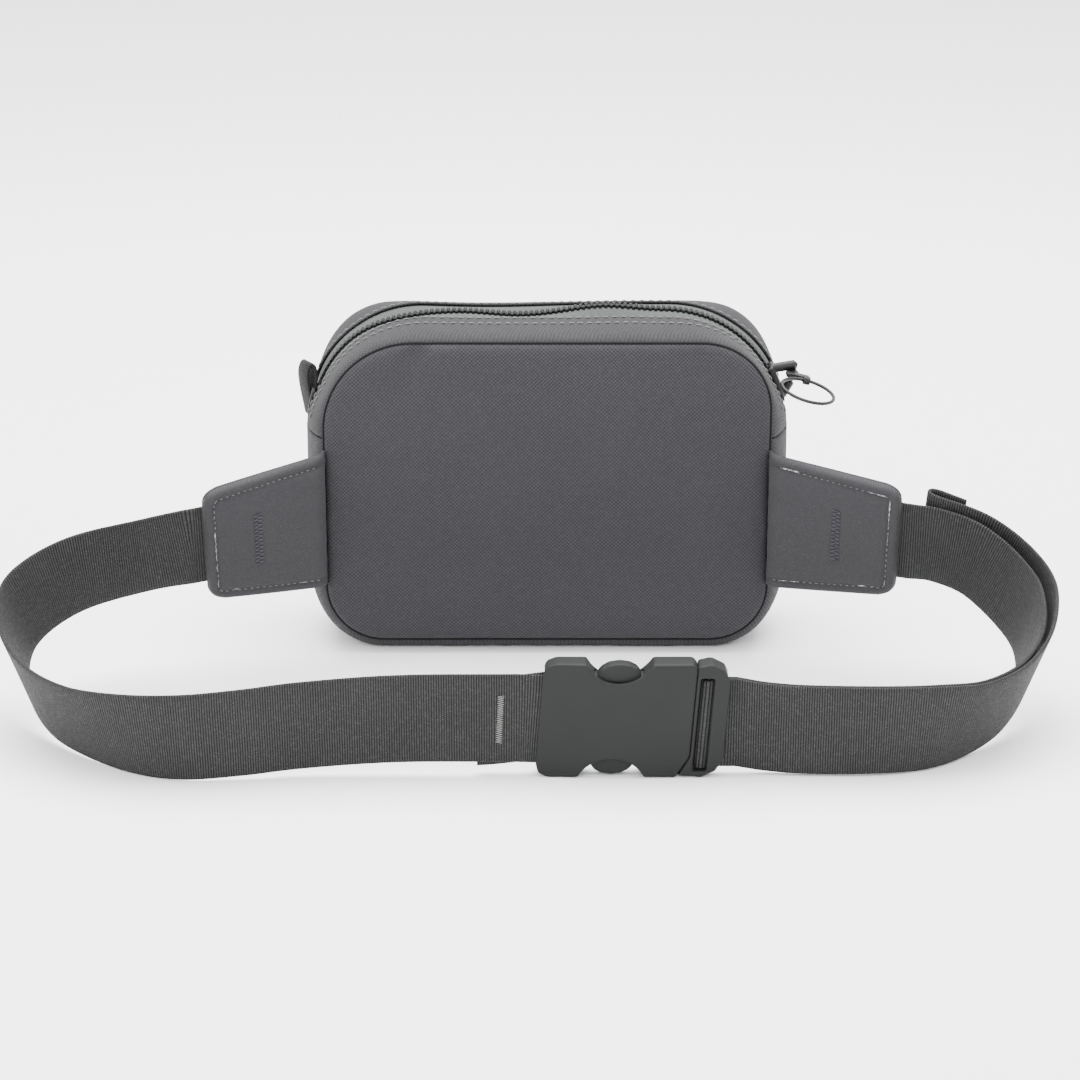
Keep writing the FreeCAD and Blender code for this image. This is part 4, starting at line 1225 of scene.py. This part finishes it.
def looks():
    return {
        "canvas": cloth("canvas_cloth", grey(62, 61, 65), grey(108, 106, 112)),
        "gusset": cloth("gusset_cloth", grey(64, 63, 66), grey(110, 108, 113)),
        "strip": cloth("zip_strip_cloth", grey(66, 65, 68), grey(104, 103, 106)),
        "wing": cloth("wing_cloth_fine", grey(70, 68, 72), grey(110, 108, 112), (0.5, 0.5), 0.08, 0.2),
        "tape": cloth("zip_tape_cloth", grey(92, 96, 94), grey(150, 156, 152), (0.45, 0.6), 0.08, 0.25),
        "lining": cloth("lining_weave", grey(60, 60, 62), grey(100, 100, 103), (0.5, 0.5), 0.05, 0.2),
        "tape_dark": webbing("dark_tape", grey(26, 27, 27), grey(82, 83, 82), 0.7, 0.6, 0.15),
        "web": webbing("belt_webbing", grey(24, 24, 25), grey(102, 102, 102)),
        # painted shade: the dark cloth of the seam cords stands for the shadow in the seam grooves
        "seam": cloth("seam_shadow", grey(24, 23, 26), grey(44, 42, 46), (0.5, 0.5), 0.1, 0.1),
        "foam": foam_look("foam_cells", (0.42, 0.42, 0.42, 1.0)),
        "plastic": plastic("buckle_moulding", grey(40, 43, 42), grey(64, 67, 65)),
        "teeth": plastic("teeth_moulding", grey(12, 13, 13), grey(44, 47, 46), 0.4, 0.02),
        "metal": metal("slider_enamel", grey(18, 19, 20), grey(52, 53, 54)),
        "ring": metal("ring_enamel", grey(26, 27, 26), grey(66, 66, 64)),
        "thread": thread_look("thread_grey", grey(120, 120, 122), grey(186, 186, 188)),
        "thread_pale": thread_look("thread_pale", grey(140, 141, 138), grey(206, 207, 203)),
        "thread_dark": thread_look("thread_violet", grey(58, 52, 68), grey(104, 96, 116)),
    }


def make_floor():
    steps = np.linspace(-4000.0, 4000.0, 9)
    x, y = np.meshgrid(steps, steps)
    pos = np.stack([x, y, np.full(x.shape, -0.15)], axis=2)
    floor = grid("floor", pos, pos[..., :2], floor_look())


def main():
    setup_view()
    setup_light()
    make_floor()
    look = looks()
    make_topstitch(make_pouch(look), look)
    make_seams(look)
    make_lining(look)
    make_inside(look)
    make_zipper(look)
    make_slider(look)
    make_grab_loop(look)
    make_zip_ends(look)
    make_wings(look)
    make_left_strap(look)
    make_right_strap(look)
    make_buckle(look)
    for node in ("end_stop_rear", "end_stop_front", "bottom_stop"):
        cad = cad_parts[node]
        cad.data.materials.clear()
        cad.data.materials.append(look["metal"])


main()
